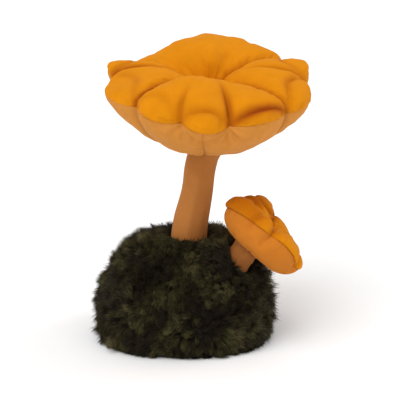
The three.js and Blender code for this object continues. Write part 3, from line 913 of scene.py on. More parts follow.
@dataclass(frozen=True)
class Settled:
    """How far a simulated fabric moved, on a grid of meridian shares and azimuths."""

    shares: Array  # the grid's shares, evenly spaced
    moves: Array  # moves in the row frame, rows by columns by 3, with the columns once round

    def at(self, share: Array, azimuth: Array) -> Array:
        """The move at shares and azimuths.

        Formula: a cubic through the four nearest rows of a cubic through the four nearest
        columns, in which each stretch's end slopes are half the difference of its neighbours.

        Args:
            share: shares, a column.
            azimuth: degrees, a row.

        Returns:
            Rows by columns by 3.
        """
        rows, columns = self.moves.shape[:2]
        span = self.shares[-1] - self.shares[0]
        place = np.clip((share[:, 0] - self.shares[0]) / span, 0, 1) * (rows - 1)
        row = np.minimum(place.astype(int), rows - 2)
        turn = (azimuth[0] + 180) % 360 / 360 * columns
        column = np.floor(turn).astype(int)

        def weights(u: Array) -> list[Array]:
            """The four weights of the cubic."""
            return [
                (-u + 2 * u**2 - u**3) / 2,
                (2 - 5 * u**2 + 3 * u**3) / 2,
                (u + 4 * u**2 - 3 * u**3) / 2,
                (u**3 - u**2) / 2,
            ]

        beside = sum(
            w[None, :, None] * self.moves[:, (column + k - 1) % columns]
            for k, w in enumerate(weights(turn - column))
        )
        return sum(
            w[:, None, None] * beside[np.clip(row + k - 1, 0, rows - 1)]
            for k, w in enumerate(weights(place - row))
        )


@dataclass(frozen=True)
class Settling:
    """A cloth simulation that lets a cap's stuffed fabric buckle between its seams."""

    columns: int = 168  # columns of the simulated grid
    top_rows: int = 30  # its rows over the top
    bowl_rows: int = 22  # its rows over the underside
    scale: float = 10.0  # enlargement for the simulation, which suits large cloth
    frames: int = 20  # number of frames
    pressure: float = 2.0  # pressure of the filling
    excess: float = 0.035  # share by which the fabric is larger than its place
    limit: float = 2.0  # greatest move, in millimetres

    def pins(self, skin: "CapSkin", azimuth: Array) -> Array:
        """Which points are held: those at the rim, the hub, the neck and the drawn-in seams.

        Args:
            skin: the cap's padded faces.
            azimuth: the columns, in degrees.

        Returns:
            1 where the fabric is held and 0 elsewhere, rows by columns.
        """
        s = skin.sizes
        held = np.zeros((self.top_rows + self.bowl_rows - 1, self.columns))
        column = 360 / self.columns
        for rows, seams in (
            (slice(0, self.top_rows), s.petal_seams),
            (slice(self.top_rows - 1, None), s.gore_seams),
        ):
            for seam in (one for one in seams if one.depth > 0):
                near = np.abs(turn_between(seam.azimuth, azimuth)) < 0.75 * column
                held[rows] = np.maximum(held[rows], near[None])
        held[[0, 1, self.top_rows - 1, -2, -1]] = 1
        return held

    def run(self, skin: "CapSkin") -> tuple[Settled, Settled]:
        """Simulates the fabric.

        Formula: the move of each point from its place is shortened to limit x tanh(length /
        limit).

        Args:
            skin: the cap's padded faces.

        Returns:
            The moves of the top and of the underside.
        """
        azimuth = np.linspace(-180, 180, self.columns, endpoint=False)
        over = np.linspace(FILLING_FROM_HUB, 1, self.top_rows)
        under = np.linspace(0, 1, self.bowl_rows)
        top, _ = skin.top(over[:, None], azimuth[None])
        bowl, _ = skin.bowl(under[:, None], azimuth[None])
        rings = np.concatenate([top, bowl[1:]])
        body = body_object(f"{skin.sizes.name}_settling", rings * self.scale)
        group = body.vertex_groups.new(name="held")
        held = np.append(self.pins(skin, azimuth).ravel(), [1, 1])
        group.add(np.flatnonzero(held).tolist(), 1.0, "REPLACE")
        modifier = body.modifiers.new("cloth", "CLOTH")
        settings = modifier.settings
        for key, value in CLOTH.items():
            setattr(settings, key, value)
        settings.vertex_group_mass = group.name
        settings.uniform_pressure_force = self.pressure
        settings.shrink_min = -self.excess
        settings.effector_weights.gravity = 0
        modifier.collision_settings.use_collision = False
        modifier.collision_settings.use_self_collision = False
        modifier.point_cache.frame_start = 1
        modifier.point_cache.frame_end = self.frames
        scene = bpy.context.scene
        for number in range(1, self.frames + 1):
            scene.frame_set(number)
        shaped = body.evaluated_get(bpy.context.evaluated_depsgraph_get()).data
        moved = np.empty(len(shaped.vertices) * 3, np.float32)
        shaped.vertices.foreach_get("co", moved)
        moved = moved.reshape(-1, 3)[:-2].reshape(rings.shape) / (MM * self.scale)
        bpy.data.objects.remove(body)
        scene.frame_set(1)
        move = moved - rings
        length = np.linalg.norm(move, axis=-1, keepdims=True)
        name = skin.sizes.name
        log.info("%s settled: mean move %.2f mm, most %.2f mm", name, length.mean(), length.max())
        move *= self.limit * np.tanh(length / self.limit) / np.maximum(length, TINY)
        return Settled(over, move[:self.top_rows]), Settled(under, move[self.top_rows - 1:])


class CapSkin:
    """The padded faces of a cap as functions of a share along a meridian and an azimuth."""

    def __init__(self, sizes: CapSizes) -> None:
        """Measures the mean meridians of the top and the underside.

        Args:
            sizes: the cap's sizes.
        """
        self.sizes = sizes
        self.shares = np.linspace(0, 1, RUN_SAMPLES)
        level = {"radius": sizes.tack_radius, "height": 0.0}
        mean = {"radius": sizes.tack_radius + sizes.mean_reach, "height": 0.0}
        self.top_runs = self.run_of(self.top_profile, level)
        self.bowl_runs = self.run_of(self.bowl_profile, mean)
        self.matrix, self.origin = self.placing()
        self.settled: Optional[tuple[Settled, Settled]] = None

    def placing(self) -> tuple[Array, Array]:
        """The cap's turn and place: turned about its axis, leaned, then swung to its azimuth."""
        s = self.sizes

        def about_z(angle: float) -> Array:
            """Rotation about Z."""
            c, d = math.cos(math.radians(angle)), math.sin(math.radians(angle))
            return np.array([[c, -d, 0], [d, c, 0], [0, 0, 1]])

        c, d = math.cos(math.radians(s.lean)), math.sin(math.radians(s.lean))
        about_y = np.array([[c, 0, d], [0, 1, 0], [-d, 0, c]])
        return about_z(s.toward) @ about_y @ about_z(s.turn), np.array(s.centre)

    def world(self, points: Array) -> Array:
        """Points of the cap's own frame in the row frame."""
        return points @ self.matrix.T + self.origin

    def local(self, points: Array) -> Array:
        """Points of the row frame in the cap's own frame."""
        return (points - self.origin) @ self.matrix

    def run_of(self, profile: Callable, rim: dict) -> Array:
        """Length along a profile at each share: the running sum of the steps between samples."""
        radius, height = profile(self.shares, rim)
        return np.concatenate([[0], np.cumsum(np.hypot(np.diff(radius), np.diff(height)))])

    def rim(self, azimuth: Array) -> dict[str, Array]:
        """The rim seam at azimuths.

        Formula: over each lobe the seam's radius and height swell as powers of a half sine wave,
        and its height also blends from the lobe's lift to the next one's. The padding blends
        halfway to the neighbour's at each end.

        Args:
            azimuth: degrees.

        Returns:
            radius, height and each of the lobe's other sizes at each azimuth.
        """
        s = self.sizes
        azimuth = np.asarray(azimuth, float)
        keys = ("radius", "height", "fold_in", "fold", "bulge", "shade", "rim_shade", "blend")
        out = {key: np.zeros(azimuth.shape) for key in keys}
        for before, one, after in zip(s.lobes[-1:] + s.lobes, s.lobes, s.lobes[1:] + s.lobes[:1]):
            span = (after.start - one.start) % 360
            turn = (azimuth - one.start) % 360
            inside = turn < span
            t = turn[inside] / span
            wave = np.maximum(np.sin(np.pi * t), 0)
            out["radius"][inside] = s.tack_radius + one.reach * wave**REACH_FULLNESS
            blend = one.lift + (after.lift - one.lift) * smooth(t)
            out["height"][inside] = blend + one.rise * wave**RISE_FULLNESS
            out["fold_in"][inside] = one.fold_in * wave**FOLD_IN_FULLNESS
            for key in ("fold", "shade"):
                out[key][inside] = getattr(one, key) * wave**FOLD_FULLNESS
            for key in ("bulge", "blend"):
                mine = getattr(one, key)
                ends = (getattr(before, key) - mine) * smooth(0.5 - t / END_BLEND)
                ends = ends + (getattr(after, key) - mine) * smooth(0.5 - (1 - t) / END_BLEND)
                out[key][inside] = mine + ends
            out["rim_shade"][inside] = one.rim_shade + (after.rim_shade - one.rim_shade) * smooth(t)
        return out

    def top_profile(self, t: Array, rim: dict) -> tuple[Array, Array]:
        """The unpadded meridian of the top, from the hub (0) to the rim seam (1).

        Formula: the radius is a quarter sine of the rim's, and the height is a squared-off dome,
        less a bell-shaped dimple, plus the rim's height times the sine to the fourth.

        Args:
            t: shares of the meridian.
            rim: the rim's radius and height.

        Returns:
            Radius and height.
        """
        s = self.sizes
        angle = t * np.pi / 2
        radius = rim["radius"] * np.sin(angle)
        dome = s.crown * np.maximum(np.cos(angle), 0) ** DOME_POWER
        dip = s.dimple * bell(radius, s.dimple_radius)
        return radius, dome - dip + rim["height"] * np.sin(angle) ** RISE_POWER

    def bowl_profile(self, t: Array, rim: dict) -> tuple[Array, Array]:
        """The unpadded meridian of the underside, from the rim seam (0) to the neck (1).

        Formula: a quarter of a super-ellipse, on which the rim's waves die away as a bell.

        Args:
            t: shares of the meridian.
            rim: the rim's radius and height.

        Returns:
            Radius and height.
        """
        s = self.sizes
        power = 2 / s.bowl_power
        mean = s.tack_radius + s.mean_reach
        angle = t * np.pi / 2
        fade = np.exp(-((t / s.scallop_fade) ** FADE_POWER))
        outer = mean + (rim["radius"] - mean) * fade
        radius = (outer - s.neck) * np.maximum(np.cos(angle), 0) ** power + s.neck
        return radius, rim["height"] * fade - s.bowl_depth * np.sin(angle) ** power

    def placed(self, profile: Callable, t: Array, azimuth: Array, rim: dict, out: Array) -> Array:
        """Points that stand off a meridian along its normal, in the cap's own frame.

        Formula: the normal is the meridian's slope turned a quarter, and the result is spun to
        its azimuth.

        Args:
            profile: the meridian.
            t: shares, a column.
            azimuth: degrees, a row.
            rim: the rim at those azimuths.
            out: distance off the meridian.

        Returns:
            Rows by columns by 3.
        """
        radius, height = profile(t, rim)
        r0, z0 = profile(np.maximum(t - PROFILE_STEP, 0), rim)
        r1, z1 = profile(np.minimum(t + PROFILE_STEP, 1), rim)
        length = np.hypot(r1 - r0, z1 - z0)
        reach = radius + (z0 - z1) / length * out
        angle = np.radians(azimuth)
        level = height + (r1 - r0) / length * out
        place = np.broadcast_arrays(reach * np.cos(angle), reach * np.sin(angle), level)
        return np.stack(place, -1)

    @staticmethod
    def swelled(puffs: Sequence[Puff], azimuth: Array) -> Array:
        """The sum of the puffs' heights, each a bell of the turn from its azimuth."""
        total = np.zeros(azimuth.shape)
        for one in puffs:
            total = total + one.height * bell(turn_between(one.azimuth, azimuth), one.width)
        return total

    @staticmethod
    def puckers(seams: Sequence[Crease], azimuth: Array, run: Array, sizes: tuple) -> Array:
        """Small gathers on both sides of seams that run along azimuths.

        Formula: for each seam a bell of the distance to it, times gathers along the run.

        Args:
            seams: the seams.
            azimuth: degrees.
            run: distance along the seams.
            sizes: mean distance between gathers, and their depth.

        Returns:
            Depths.
        """
        spacing, depth = sizes
        reach = GATHER_REACH * spacing
        total = np.zeros(np.broadcast(azimuth, run).shape)
        for number, one in enumerate(seams):
            left, right = (Gathers(spacing, 1, reach, seed + number).wave(run) for seed in (40, 60))
            wave = np.where(turn_between(one.azimuth, azimuth) > 0, left, right)
            total = total + one.depth * wave * bell(one.distance(azimuth, run), reach)
        return depth * total

    def tugged(self, azimuth: Array, run: Array, radius: Array) -> Array:
        """Drag wrinkles that fan out over the underside from tacks on the rim.

        Formula: for each tack depth x a sine of the angle around it, which repeats along a
        number of rays, x a bell of the distance from it, none at the tack itself.

        Args:
            azimuth: degrees.
            run: distance from the rim.
            radius: distance from the cap's axis.

        Returns:
            Heights.
        """
        total = np.zeros(np.broadcast(azimuth, run).shape)
        for one in self.sizes.tugs:
            across = np.radians(turn_between(one.azimuth, azimuth)) * radius
            distance = np.hypot(across, run)
            fan = np.sin(TUG_RAYS * np.arctan2(run, across) + TUG_SPIN * distance)
            near = bell(distance, one.width) * smooth(distance / TUG_CLEAR)
            total = total + one.height * fan * near
        return total

    def top(self, t: Array, azimuth: Array) -> tuple[Array, Array]:
        """The padded top face.

        Args:
            t: shares from hub to rim, a column.
            azimuth: degrees, a row.

        Returns:
            Points in the row frame, and the painted light there: below 1 where painted shade darkens
            the seams, tucks, folds and the hollow beside the rim seam.
        """
        s = self.sizes
        rim = self.rim(azimuth)
        run = np.interp(t, self.shares, self.top_runs)
        total = self.top_runs[-1]
        line = total - rim["fold_in"]
        turned = self.rim(azimuth + 1)["fold_in"] - self.rim(azimuth - 1)["fold_in"]
        slope = turned / math.radians(2)
        to_fold = np.abs(run - line) / np.hypot(1, slope / np.maximum(run, FOLD_SLOPE_RADIUS))
        wide = s.puff + self.swelled(s.puffs, azimuth)
        outer = 1 / (1 + np.exp((line - run) / rim["blend"]))
        full = (
            math.prod(one.left(azimuth, run, SEAM_STEEPNESS) for one in s.petal_seams)
            * math.prod(one.left(azimuth, run, TUCK_STEEPNESS) for one in s.tucks)
            * (1 - rim["fold"] * (1 - pillow(to_fold, s.fold_width, FOLD_STEEPNESS)))
            * pillow(total - run, s.rim_width, RIM_STEEPNESS)
            * (1 - bell(run, s.hub_width))
        )
        out = (wide * (1 - outer) + rim["bulge"] * outer) * full
        points = self.world(self.placed(self.top_profile, t, azimuth, rim, out))
        broad, fine = TOP_LUMPS
        detail = broad * full * BROAD_LUMPS.at(points) + fine * full * FINE_LUMPS.at(points)
        around = np.radians(azimuth) * s.tack_radius
        pulled = TOP_RIM_GATHERS.at(around, total - run)
        pulled = pulled + self.puckers(s.petal_seams, azimuth, run, PETAL_GATHERS)
        edge = pillow(total - run, EDGE_WIDTH, 1.0)
        detail = detail - pulled * edge * smooth(full * 4)
        points = self.world(self.placed(self.top_profile, t, azimuth, rim, out + detail))
        # Painted shade beside the seams and tucks, down in the folds and in the hollow beside the rim
        # seam.
        hollow = np.exp(-(((total - run) / HOLLOW_WIDTH) ** 4))
        light = math.prod(one.lit(azimuth, run) for one in (*s.petal_seams, *s.tucks))
        light = light * (1 - rim["shade"] * bell(to_fold, SHADE_WIDTH))
        light = light * (1 - rim["rim_shade"] * hollow)
        if self.settled:
            points = points + self.settled[0].at(t, azimuth)
        return points, light

    def bowl(self, t: Array, azimuth: Array) -> tuple[Array, Array]:
        """The padded underside.

        Args:
            t: shares from rim to neck, a column.
            azimuth: degrees, a row.

        Returns:
            Points in the row frame, and the painted light there: below 1 where painted shade darkens
            the gore seams, the pleats and the neck's gathers.
        """
        s = self.sizes
        rim = self.rim(azimuth)
        run = np.interp(t, self.shares, self.bowl_runs)
        left = self.bowl_runs[-1] - run
        radius, _ = self.bowl_profile(t, rim)
        full = (
            math.prod(one.left(azimuth, radius, SEAM_STEEPNESS) for one in s.gore_seams)
            * math.prod(one.left(azimuth, radius, SEAM_STEEPNESS) for one in s.pleats)
            * pillow(run, s.bowl_rim_width, RIM_STEEPNESS)
            * pillow(left, s.neck_width, RIM_STEEPNESS)
        )
        out = (s.bowl_puff + self.swelled(s.bowl_puffs, azimuth)) * full

        def shifted(stand_off: Array) -> Array:
            """Points that stand off the meridian, shifted towards the neck's place."""
            local = self.placed(self.bowl_profile, t, azimuth, rim, stand_off)
            local[..., 0] += s.neck_shift * smooth(t)
            return self.world(local)

        points = shifted(out)
        angle = np.radians(azimuth)
        pulled = BOWL_RIM_GATHERS.at(angle * s.tack_radius, run)
        pulled = pulled + NECK_GATHERS.at(angle * NECK_AROUND, left)
        pulled = pulled + self.puckers(s.gore_seams, azimuth, radius, GORE_GATHERS)
        broad, fine = BOWL_LUMPS
        detail = broad * BROAD_LUMPS.at(points) + fine * FINE_LUMPS.at(points)
        detail = (detail + self.tugged(azimuth, run, radius)) * full
        edge = pillow(run, EDGE_WIDTH, 1.0) * pillow(left, EDGE_WIDTH, 1.0)
        points = shifted(out + (detail - pulled * edge))
        if self.settled:
            points = points + self.settled[1].at(t, azimuth)
        # Painted shade beside the gore seams and pleats, and in the gathers of the neck.
        light = math.prod(one.lit(azimuth, radius) for one in (*s.gore_seams, *s.pleats))
        return points, light * (1 - NECK_PAINTED_SHADE * bell(left, NECK_GATHERS.reach))


@dataclass
class Cap:
    """A mushroom cap of sewn petals and gores around loose filling."""

    sizes: CapSizes  # its sizes
    fill: float = 0.75  # how tightly it is stuffed
    skin: CapSkin = field(init=False)

    def __post_init__(self) -> None:
        """Works out the skin."""
        self.skin = CapSkin(self.sizes)

    def settle(self, settling: Settling) -> None:
        self.skin.settled = settling.run(self.skin)

    def columns(self, start: float, end: float) -> Array:
        """Azimuths across a panel, a row, crowded a little towards its two seams.

        The column nearest each notch of the rim moves onto the notch, so that the petals and the
        gores meet along it.
        """
        span = (end - start) % 360
        width = math.radians(span) * self.sizes.tack_radius
        count = max(int(width / self.sizes.column_pitch), 24)
        side = math.degrees(SEAM_GAP / self.sizes.tack_radius)
        azimuth = start + side + (span - 2 * side) * crowded(count + 1, SHEET_CROWDING)
        for lobe in self.sizes.lobes:
            turn = turn_between(lobe.start, azimuth[1:-1])
            column = np.argmin(np.abs(turn))
            if abs(turn[column]) < span / count:
                azimuth[1 + column] -= turn[column]
        return azimuth[None]

    def build(self, wardrobe: Wardrobe) -> list[Object]:
        """Makes the petals, the gores and the filling.

        Args:
            wardrobe: the finishes.

        Returns:
            The pieces.
        """
        s = self.sizes
        made = []
        hub = 2 / math.pi * math.asin(s.hub_hole / s.tack_radius)
        top = (self.skin.top, s.petal_seams, s.petal_names, s.top_rows, hub, PANEL_ENDS[1])
        bowl = (self.skin.bowl, s.gore_seams, s.gore_names, s.bowl_rows, PANEL_ENDS[0], 1.0)
        tan = getattr(wardrobe, s.underside)
        for label, sizes, material, slot in (
            ("top", top, wardrobe.orange, Slot.ORANGE),
            ("underside", bowl, tan, Slot.TAN),
        ):
            face, seams, names, rows, first, last = sizes
            t = (first + (last - first) * crowded(rows, ROW_CROWDING))[:, None]
            for number, name in enumerate(names):
                start, end = seams[number].azimuth, seams[(number + 1) % len(seams)].azimuth
                node = f"{s.name}_{label}_{name}"
                outer, light = face(t, self.columns(start, end))
                piece = sheet_object(f"{node}_velour", outer, inner_sheet(outer, VELOUR), light)
                made.append(dress(piece, material, [node]))
        made.append(self.filling(wardrobe))
        return made

    def filling(self, wardrobe: Wardrobe) -> Object:
        """The fibre filling, a closed body a little inside the fabric.

        Formula: each point of one face moves towards the point of the other face on its
        meridian by a share of the way that grows as the square of its place along it.

        Args:
            wardrobe: the finishes.

        Returns:
            The piece.
        """
        s = self.sizes
        rows, columns = FILLING_GRID
        azimuth = np.linspace(0, 360, columns + 1)[None, :-1]
        last = 2 / math.pi * math.asin(1 - FILLING_FROM_RIM / s.tack_radius)
        share = np.linspace(FILLING_FROM_HUB, last, rows)[:, None]
        top, _ = self.skin.top(share, azimuth)
        bowl, _ = self.skin.bowl(1 - share, azimuth)
        way = (FILLING_INSET[0] + FILLING_INSET[1] * share**2)[..., None]
        rings = np.concatenate([top + (bowl - top) * way, (bowl + (top - bowl) * way)[::-1]])
        node = f"{s.name}_filling"
        piece = body_object(f"{node}_fibre", rings)
        return dress(piece, wardrobe.fibre, [node])


# ---- Stems ----

STEM_ENDS = (0.002, 0.998)  # shares of a stem between which it is made
STEM_STEP = 0.004  # step in share for the direction of a stem
STEM_SAMPLES = 60  # points of a stem's axis that places are measured from
STEM_WALL = 2.4  # thickness of a stem's fabric, with its seam allowance
STEM_FILLING = (24, 32, 2.8)  # its rings, sides and inset
DRAG_LINES, STEM_LUMPS = Lumps(11, 21), Lumps(17, 22)
DRAG_SPREAD = (14, 12)  # room given to the drag lines around a stem and along it
STEM_LUMP_HEIGHT, STEM_LUMP_RUN = 0.3, 90
STEM_SEAM = (1.3, 0.9, 0.7)  # width and depth of the seam along a stem, and the darkness of the painted shade in it
STEM_GATHERS = Gathers(4.4, 1, 0.08, 23)  # their reach is a share of the stem
# How far round a stem's neck gathers are counted, their depth, and the painted shade in them.
STEM_GATHER_AROUND, STEM_GATHER_DEPTH, STEM_GATHER_SHADE = 10, 0.9, 0.35


@dataclass
class Stem:
    """A stuffed velour tube from inside the mound up to its cap's neck."""

    name: str  # its name
    lower: tuple  # points of its axis from inside the mound
    cap: Cap  # the cap it carries
    radii: tuple  # its radius, spread evenly along it
    rings: int = 90  # rings of points
    sides: int = 96  # points to a ring
    tongue: float = 2.0  # how far it reaches up inside the neck
    approach: float = 5.0  # length below the neck over which it follows the cap's axis
    fill: float = 0.8  # how tightly it is stuffed
    drag: float = 0.35  # depth of the drag lines along it
    shade: float = 0.0  # how much the painted shadow of its cap darkens its colour
    axis_points: Array = field(init=False)

    def __post_init__(self) -> None:
        """Joins the points below to the cap's neck."""
        s = self.cap.sizes
        drops = (self.approach, 0, -self.tongue)
        below = np.array([[s.neck_shift, 0, -s.bowl_depth - drop] for drop in drops])
        self.axis_points = np.concatenate([np.array(self.lower, float), self.cap.skin.world(below)])

    def axis(self, share: Array) -> Array:
        """The axis at shares from 0 to 1.

        Formula: a centripetal Catmull-Rom curve through the points, in which each stretch is a
        cubic whose end slopes weigh its neighbours by the roots of the distances.

        Args:
            share: places along it.

        Returns:
            Points, one a share.
        """
        p = self.axis_points
        p = np.concatenate([[2 * p[0] - p[1]], p, [2 * p[-1] - p[-2]]])
        stretches = len(p) - 3
        place = np.clip(share, 0, 1) * stretches
        i = np.minimum(place.astype(int), stretches - 1)
        u = (place - i)[:, None]
        a, b, c, d = p[i], p[i + 1], p[i + 2], p[i + 3]
        pairs = ((a, b), (b, c), (c, d))
        ab, bc, cd = (np.sqrt(np.linalg.norm(y - x, axis=1, keepdims=True)) for x, y in pairs)
        start = ((b - a) / ab - (c - a) / (ab + bc) + (c - b) / bc) * bc
        end = ((c - b) / bc - (d - b) / (bc + cd) + (d - c) / cd) * bc
        square, cube = 3 * (c - b) - 2 * start - end, 2 * (b - c) + start + end
        return b + start * u + square * u**2 + cube * u**3

    def radius(self, share: Array) -> Array:
        """The radius at shares, blended level from one given radius to the next."""
        place = share * (len(self.radii) - 1)
        i = np.minimum(place.astype(int), len(self.radii) - 2)
        radii = np.array(self.radii)
        return radii[i] + (radii[i + 1] - radii[i]) * smooth(place - i)

    def frame(self, share: Array) -> tuple[Array, Array, Array]:
        """The axis's points and the two directions across it."""
        middle = self.axis(share)
        along = unit(self.axis(share + STEM_STEP) - self.axis(share - STEM_STEP))
        side = unit(np.cross([0.0, 1.0, 0.0], along))
        return middle, side, np.cross(along, side)

    def around(self, points: Array) -> tuple[Array, Array, Array, Array]:
        """How points stand to the stem.

        Args:
            points: places, n by 3.

        Returns:
            For each point the nearest point of the axis, the step and the distance from it, and
            the stem's radius there.
        """
        share = np.linspace(0, 1, STEM_SAMPLES)
        middle = self.axis(share)
        near = nearest(points, middle)
        off = points - middle[near]
        return middle[near], off, np.linalg.norm(off, axis=1), self.radius(share)[near]

    def surface(self, rings: int, sides: int, offset: float, detail: bool) -> tuple[Array, Array]:
        """Rings of points around the axis.

        Formula: axis + radius x (side cosine + back sine), the radius cut by long drag lines, by
        gathers at the neck and by the seam along the back.

        Args:
            rings: number of rings.
            sides: points to a ring.
            offset: distance off the fabric's outer face.
            detail: whether the drag lines and gathers are added.

        Returns:
            Rings by sides by 3, and the painted light on its pile: less in the painted shade of the
            seam and the gathers, and in the painted shadow of the cap.
        """
        share = np.linspace(*STEM_ENDS, rings)
        middle, side, back = self.frame(share)
        turn = np.linspace(0, 2 * np.pi, sides, endpoint=False)
        radius = self.radius(share)[:, None] + np.zeros(sides)[None]
        full = np.ones(radius.shape)
        if detail:
            width, depth, dark = STEM_SEAM
            from_seam = np.abs((turn - np.pi / 2 + np.pi) % (2 * np.pi) - np.pi) * radius
            seam = bell(from_seam, width)

            def round_stem(lumps: Lumps, reach: Array, run: Array) -> Array:
                """Lumps at places around the stem, a reach off its axis and a run along it."""
                place = np.broadcast_arrays(np.cos(turn) * reach, np.sin(turn) * reach, run)
                return lumps.at(np.stack(place, -1))

            spread = np.linspace(0, DRAG_SPREAD[1], rings)[:, None]
            lines = round_stem(DRAG_LINES, np.full((1, 1), DRAG_SPREAD[0]), spread)
            lump = round_stem(STEM_LUMPS, radius, share[:, None] * STEM_LUMP_RUN)
            pull = STEM_GATHERS.at(turn[None] * STEM_GATHER_AROUND, 1 - share[:, None])
            radius = radius + self.drag * lines + STEM_LUMP_HEIGHT * lump
            radius = radius - depth * seam - STEM_GATHER_DEPTH * pull
            # Painted shade in the seam and the gathers, and the painted shadow of the cap over the
            # stem.
            full = (1 - dark * seam - STEM_GATHER_SHADE * pull) * (1 - self.shade)
        radius = radius + offset
        points = (
            middle[:, None]
            + radius[..., None] * np.cos(turn)[None, :, None] * side[:, None]
            + radius[..., None] * np.sin(turn)[None, :, None] * back[:, None]
        )
        return points, full

    def build(self, wardrobe: Wardrobe) -> list[Object]:
        """Makes the cover and the filling.

        Args:
            wardrobe: the finishes.

        Returns:
            The pieces.
        """
        outer, full = self.surface(self.rings, self.sides, 0.0, True)
        inner, _ = self.surface(self.rings, self.sides, -STEM_WALL, False)
        cover = tube_object(f"{self.name}_velour", outer, inner, full)
        rings, sides, inset = STEM_FILLING
        fibre, _ = self.surface(rings, sides, -inset, False)
        filling = body_object(f"{self.name}_filling_fibre", fibre)
        return [
            dress(cover, wardrobe.stem, [f"{self.name}_cover"]),
            dress(filling, wardrobe.fibre, [f"{self.name}_filling"]),
        ]


# ---- Mound ----


@dataclass(frozen=True)
class Pile:
    """How the mound's long pile grows."""

    strands: int = 18500  # strands in each sector
    tufts: int = 3200  # tufts in all
    length: float = 8.0  # mean length of a strand
    tuft_lengths: tuple = (0.8, 1.2)  # range of the tufts' lengths, as shares of it
    strand_lengths: tuple = (0.7, 1.1)  # range of the strands' lengths in a tuft
    shortened: tuple = (0.3, 0.45)  # shares by which tufts are shorter at a stem and at the hem
    root_radius: float = 0.185  # radius of a strand at its root
    widths: tuple = (0.75, 1.3)  # range of the strands' widths, as shares of it
    gather: float = 0.32  # how strongly strands lean to their tuft's tip
    gathers: tuple = (0.35, 1.5)  # range of that over the tufts, as shares of it
    lie: float = 53.0  # lean of the pile off the backing's normal, in degrees
    hem_lie: float = 74.0  # that lean at the hem
    stem_lie: float = 10.0  # how much more it leans at a stem
    lies: tuple = (7, 9)  # spread of the lean over the tufts and over a tuft's strands
    strays: tuple = (0.42, 0.38)  # how far the nap strays over the tufts and over the strands
    parting: float = 2.2  # how strongly the stems part the nap
    seed: int = 5  # seed of the random draws


SECTORS = ("front", "front_right", "right", "back_right", "back", "back_left", "left", "front_left")
RINGS_AT = np.array([0.0, 0.5])  # shares along a strand of its rings
RING_WIDTHS = np.array([1.0, 0.85])  # thickness of a strand there, as a share of its root's
MAP_COLUMNS = 48  # columns of the fur's map, one for each shade
MAP_STRAND = np.array([0.1, 0.5, 0.9])  # places of a strand's three edges across its column
MAP_ROOT, MAP_BASE, MAP_TIP = 0.02, 0.03, 0.98  # heights of a strand's root, its end and its tip
AZIMUTH_STEP, RISE_STEP = 0.2, 0.002  # steps for the slopes of the mound
BACKING_GRID = (48, 120)  # rows and columns of the backing
BACKING_TOP, FUR_TOP = 0.985, 0.995  # rise at which the backing's rings and the fur end
HOLE_GRID = (30, 40, 0.3)  # rings and sides of a stem's hole, and its room round the stem
CANDIDATES = 6  # places drawn for each root that is kept
HEM_REACH = 34.0  # height over which the pile turns down to the hem
NAP_REACH = 42.0  # height over which the nap turns down to the hem
NAP_OUT, NAP_DOWN, NAP_DOWN_AT_HEM, NAP_SWIRL = 0.55, 0.25, 0.9, 0.55
NAP_SWIRLS = tuple(Lumps(34, seed) for seed in (31, 32, 33))
NAP_BRUSHED = np.array([-0.25, 0.0, 0.1])  # how the top of the pile is brushed to one side
LIFT_POWER, SWEEP_POWER = 1.7, 1.5  # how soon a strand rises, and how late it runs along the nap
SHORT_HEM_REACH = 9.0  # height over which the pile shortens to the hem
ROOT_LIFT = 0.2  # how far a strand's root stands off the backing
STEM_REACH = (5.0, 3.0)  # distance over which each stem pushes the pile aside
STEM_ROOM, STRAND_ROOM = 0.4, 0.5  # room between a stem and roots, and between it and strands
CAP_ROOM, CAP_MARGIN, CAP_DEPTH = 0.8, (2, 1.5), 30  # room below the leaning cap, and its reach
LEAST_HEIGHT = (0.35, 0.15)  # least height of the curves and of the strands' points
SHADE_MIDDLE, SHADE_PATCHES, SHADE_TUFTS, SHADE_STRANDS = 0.33, 0.19, 0.15, 0.2
PATCH_LUMPS = Lumps(22, 35)


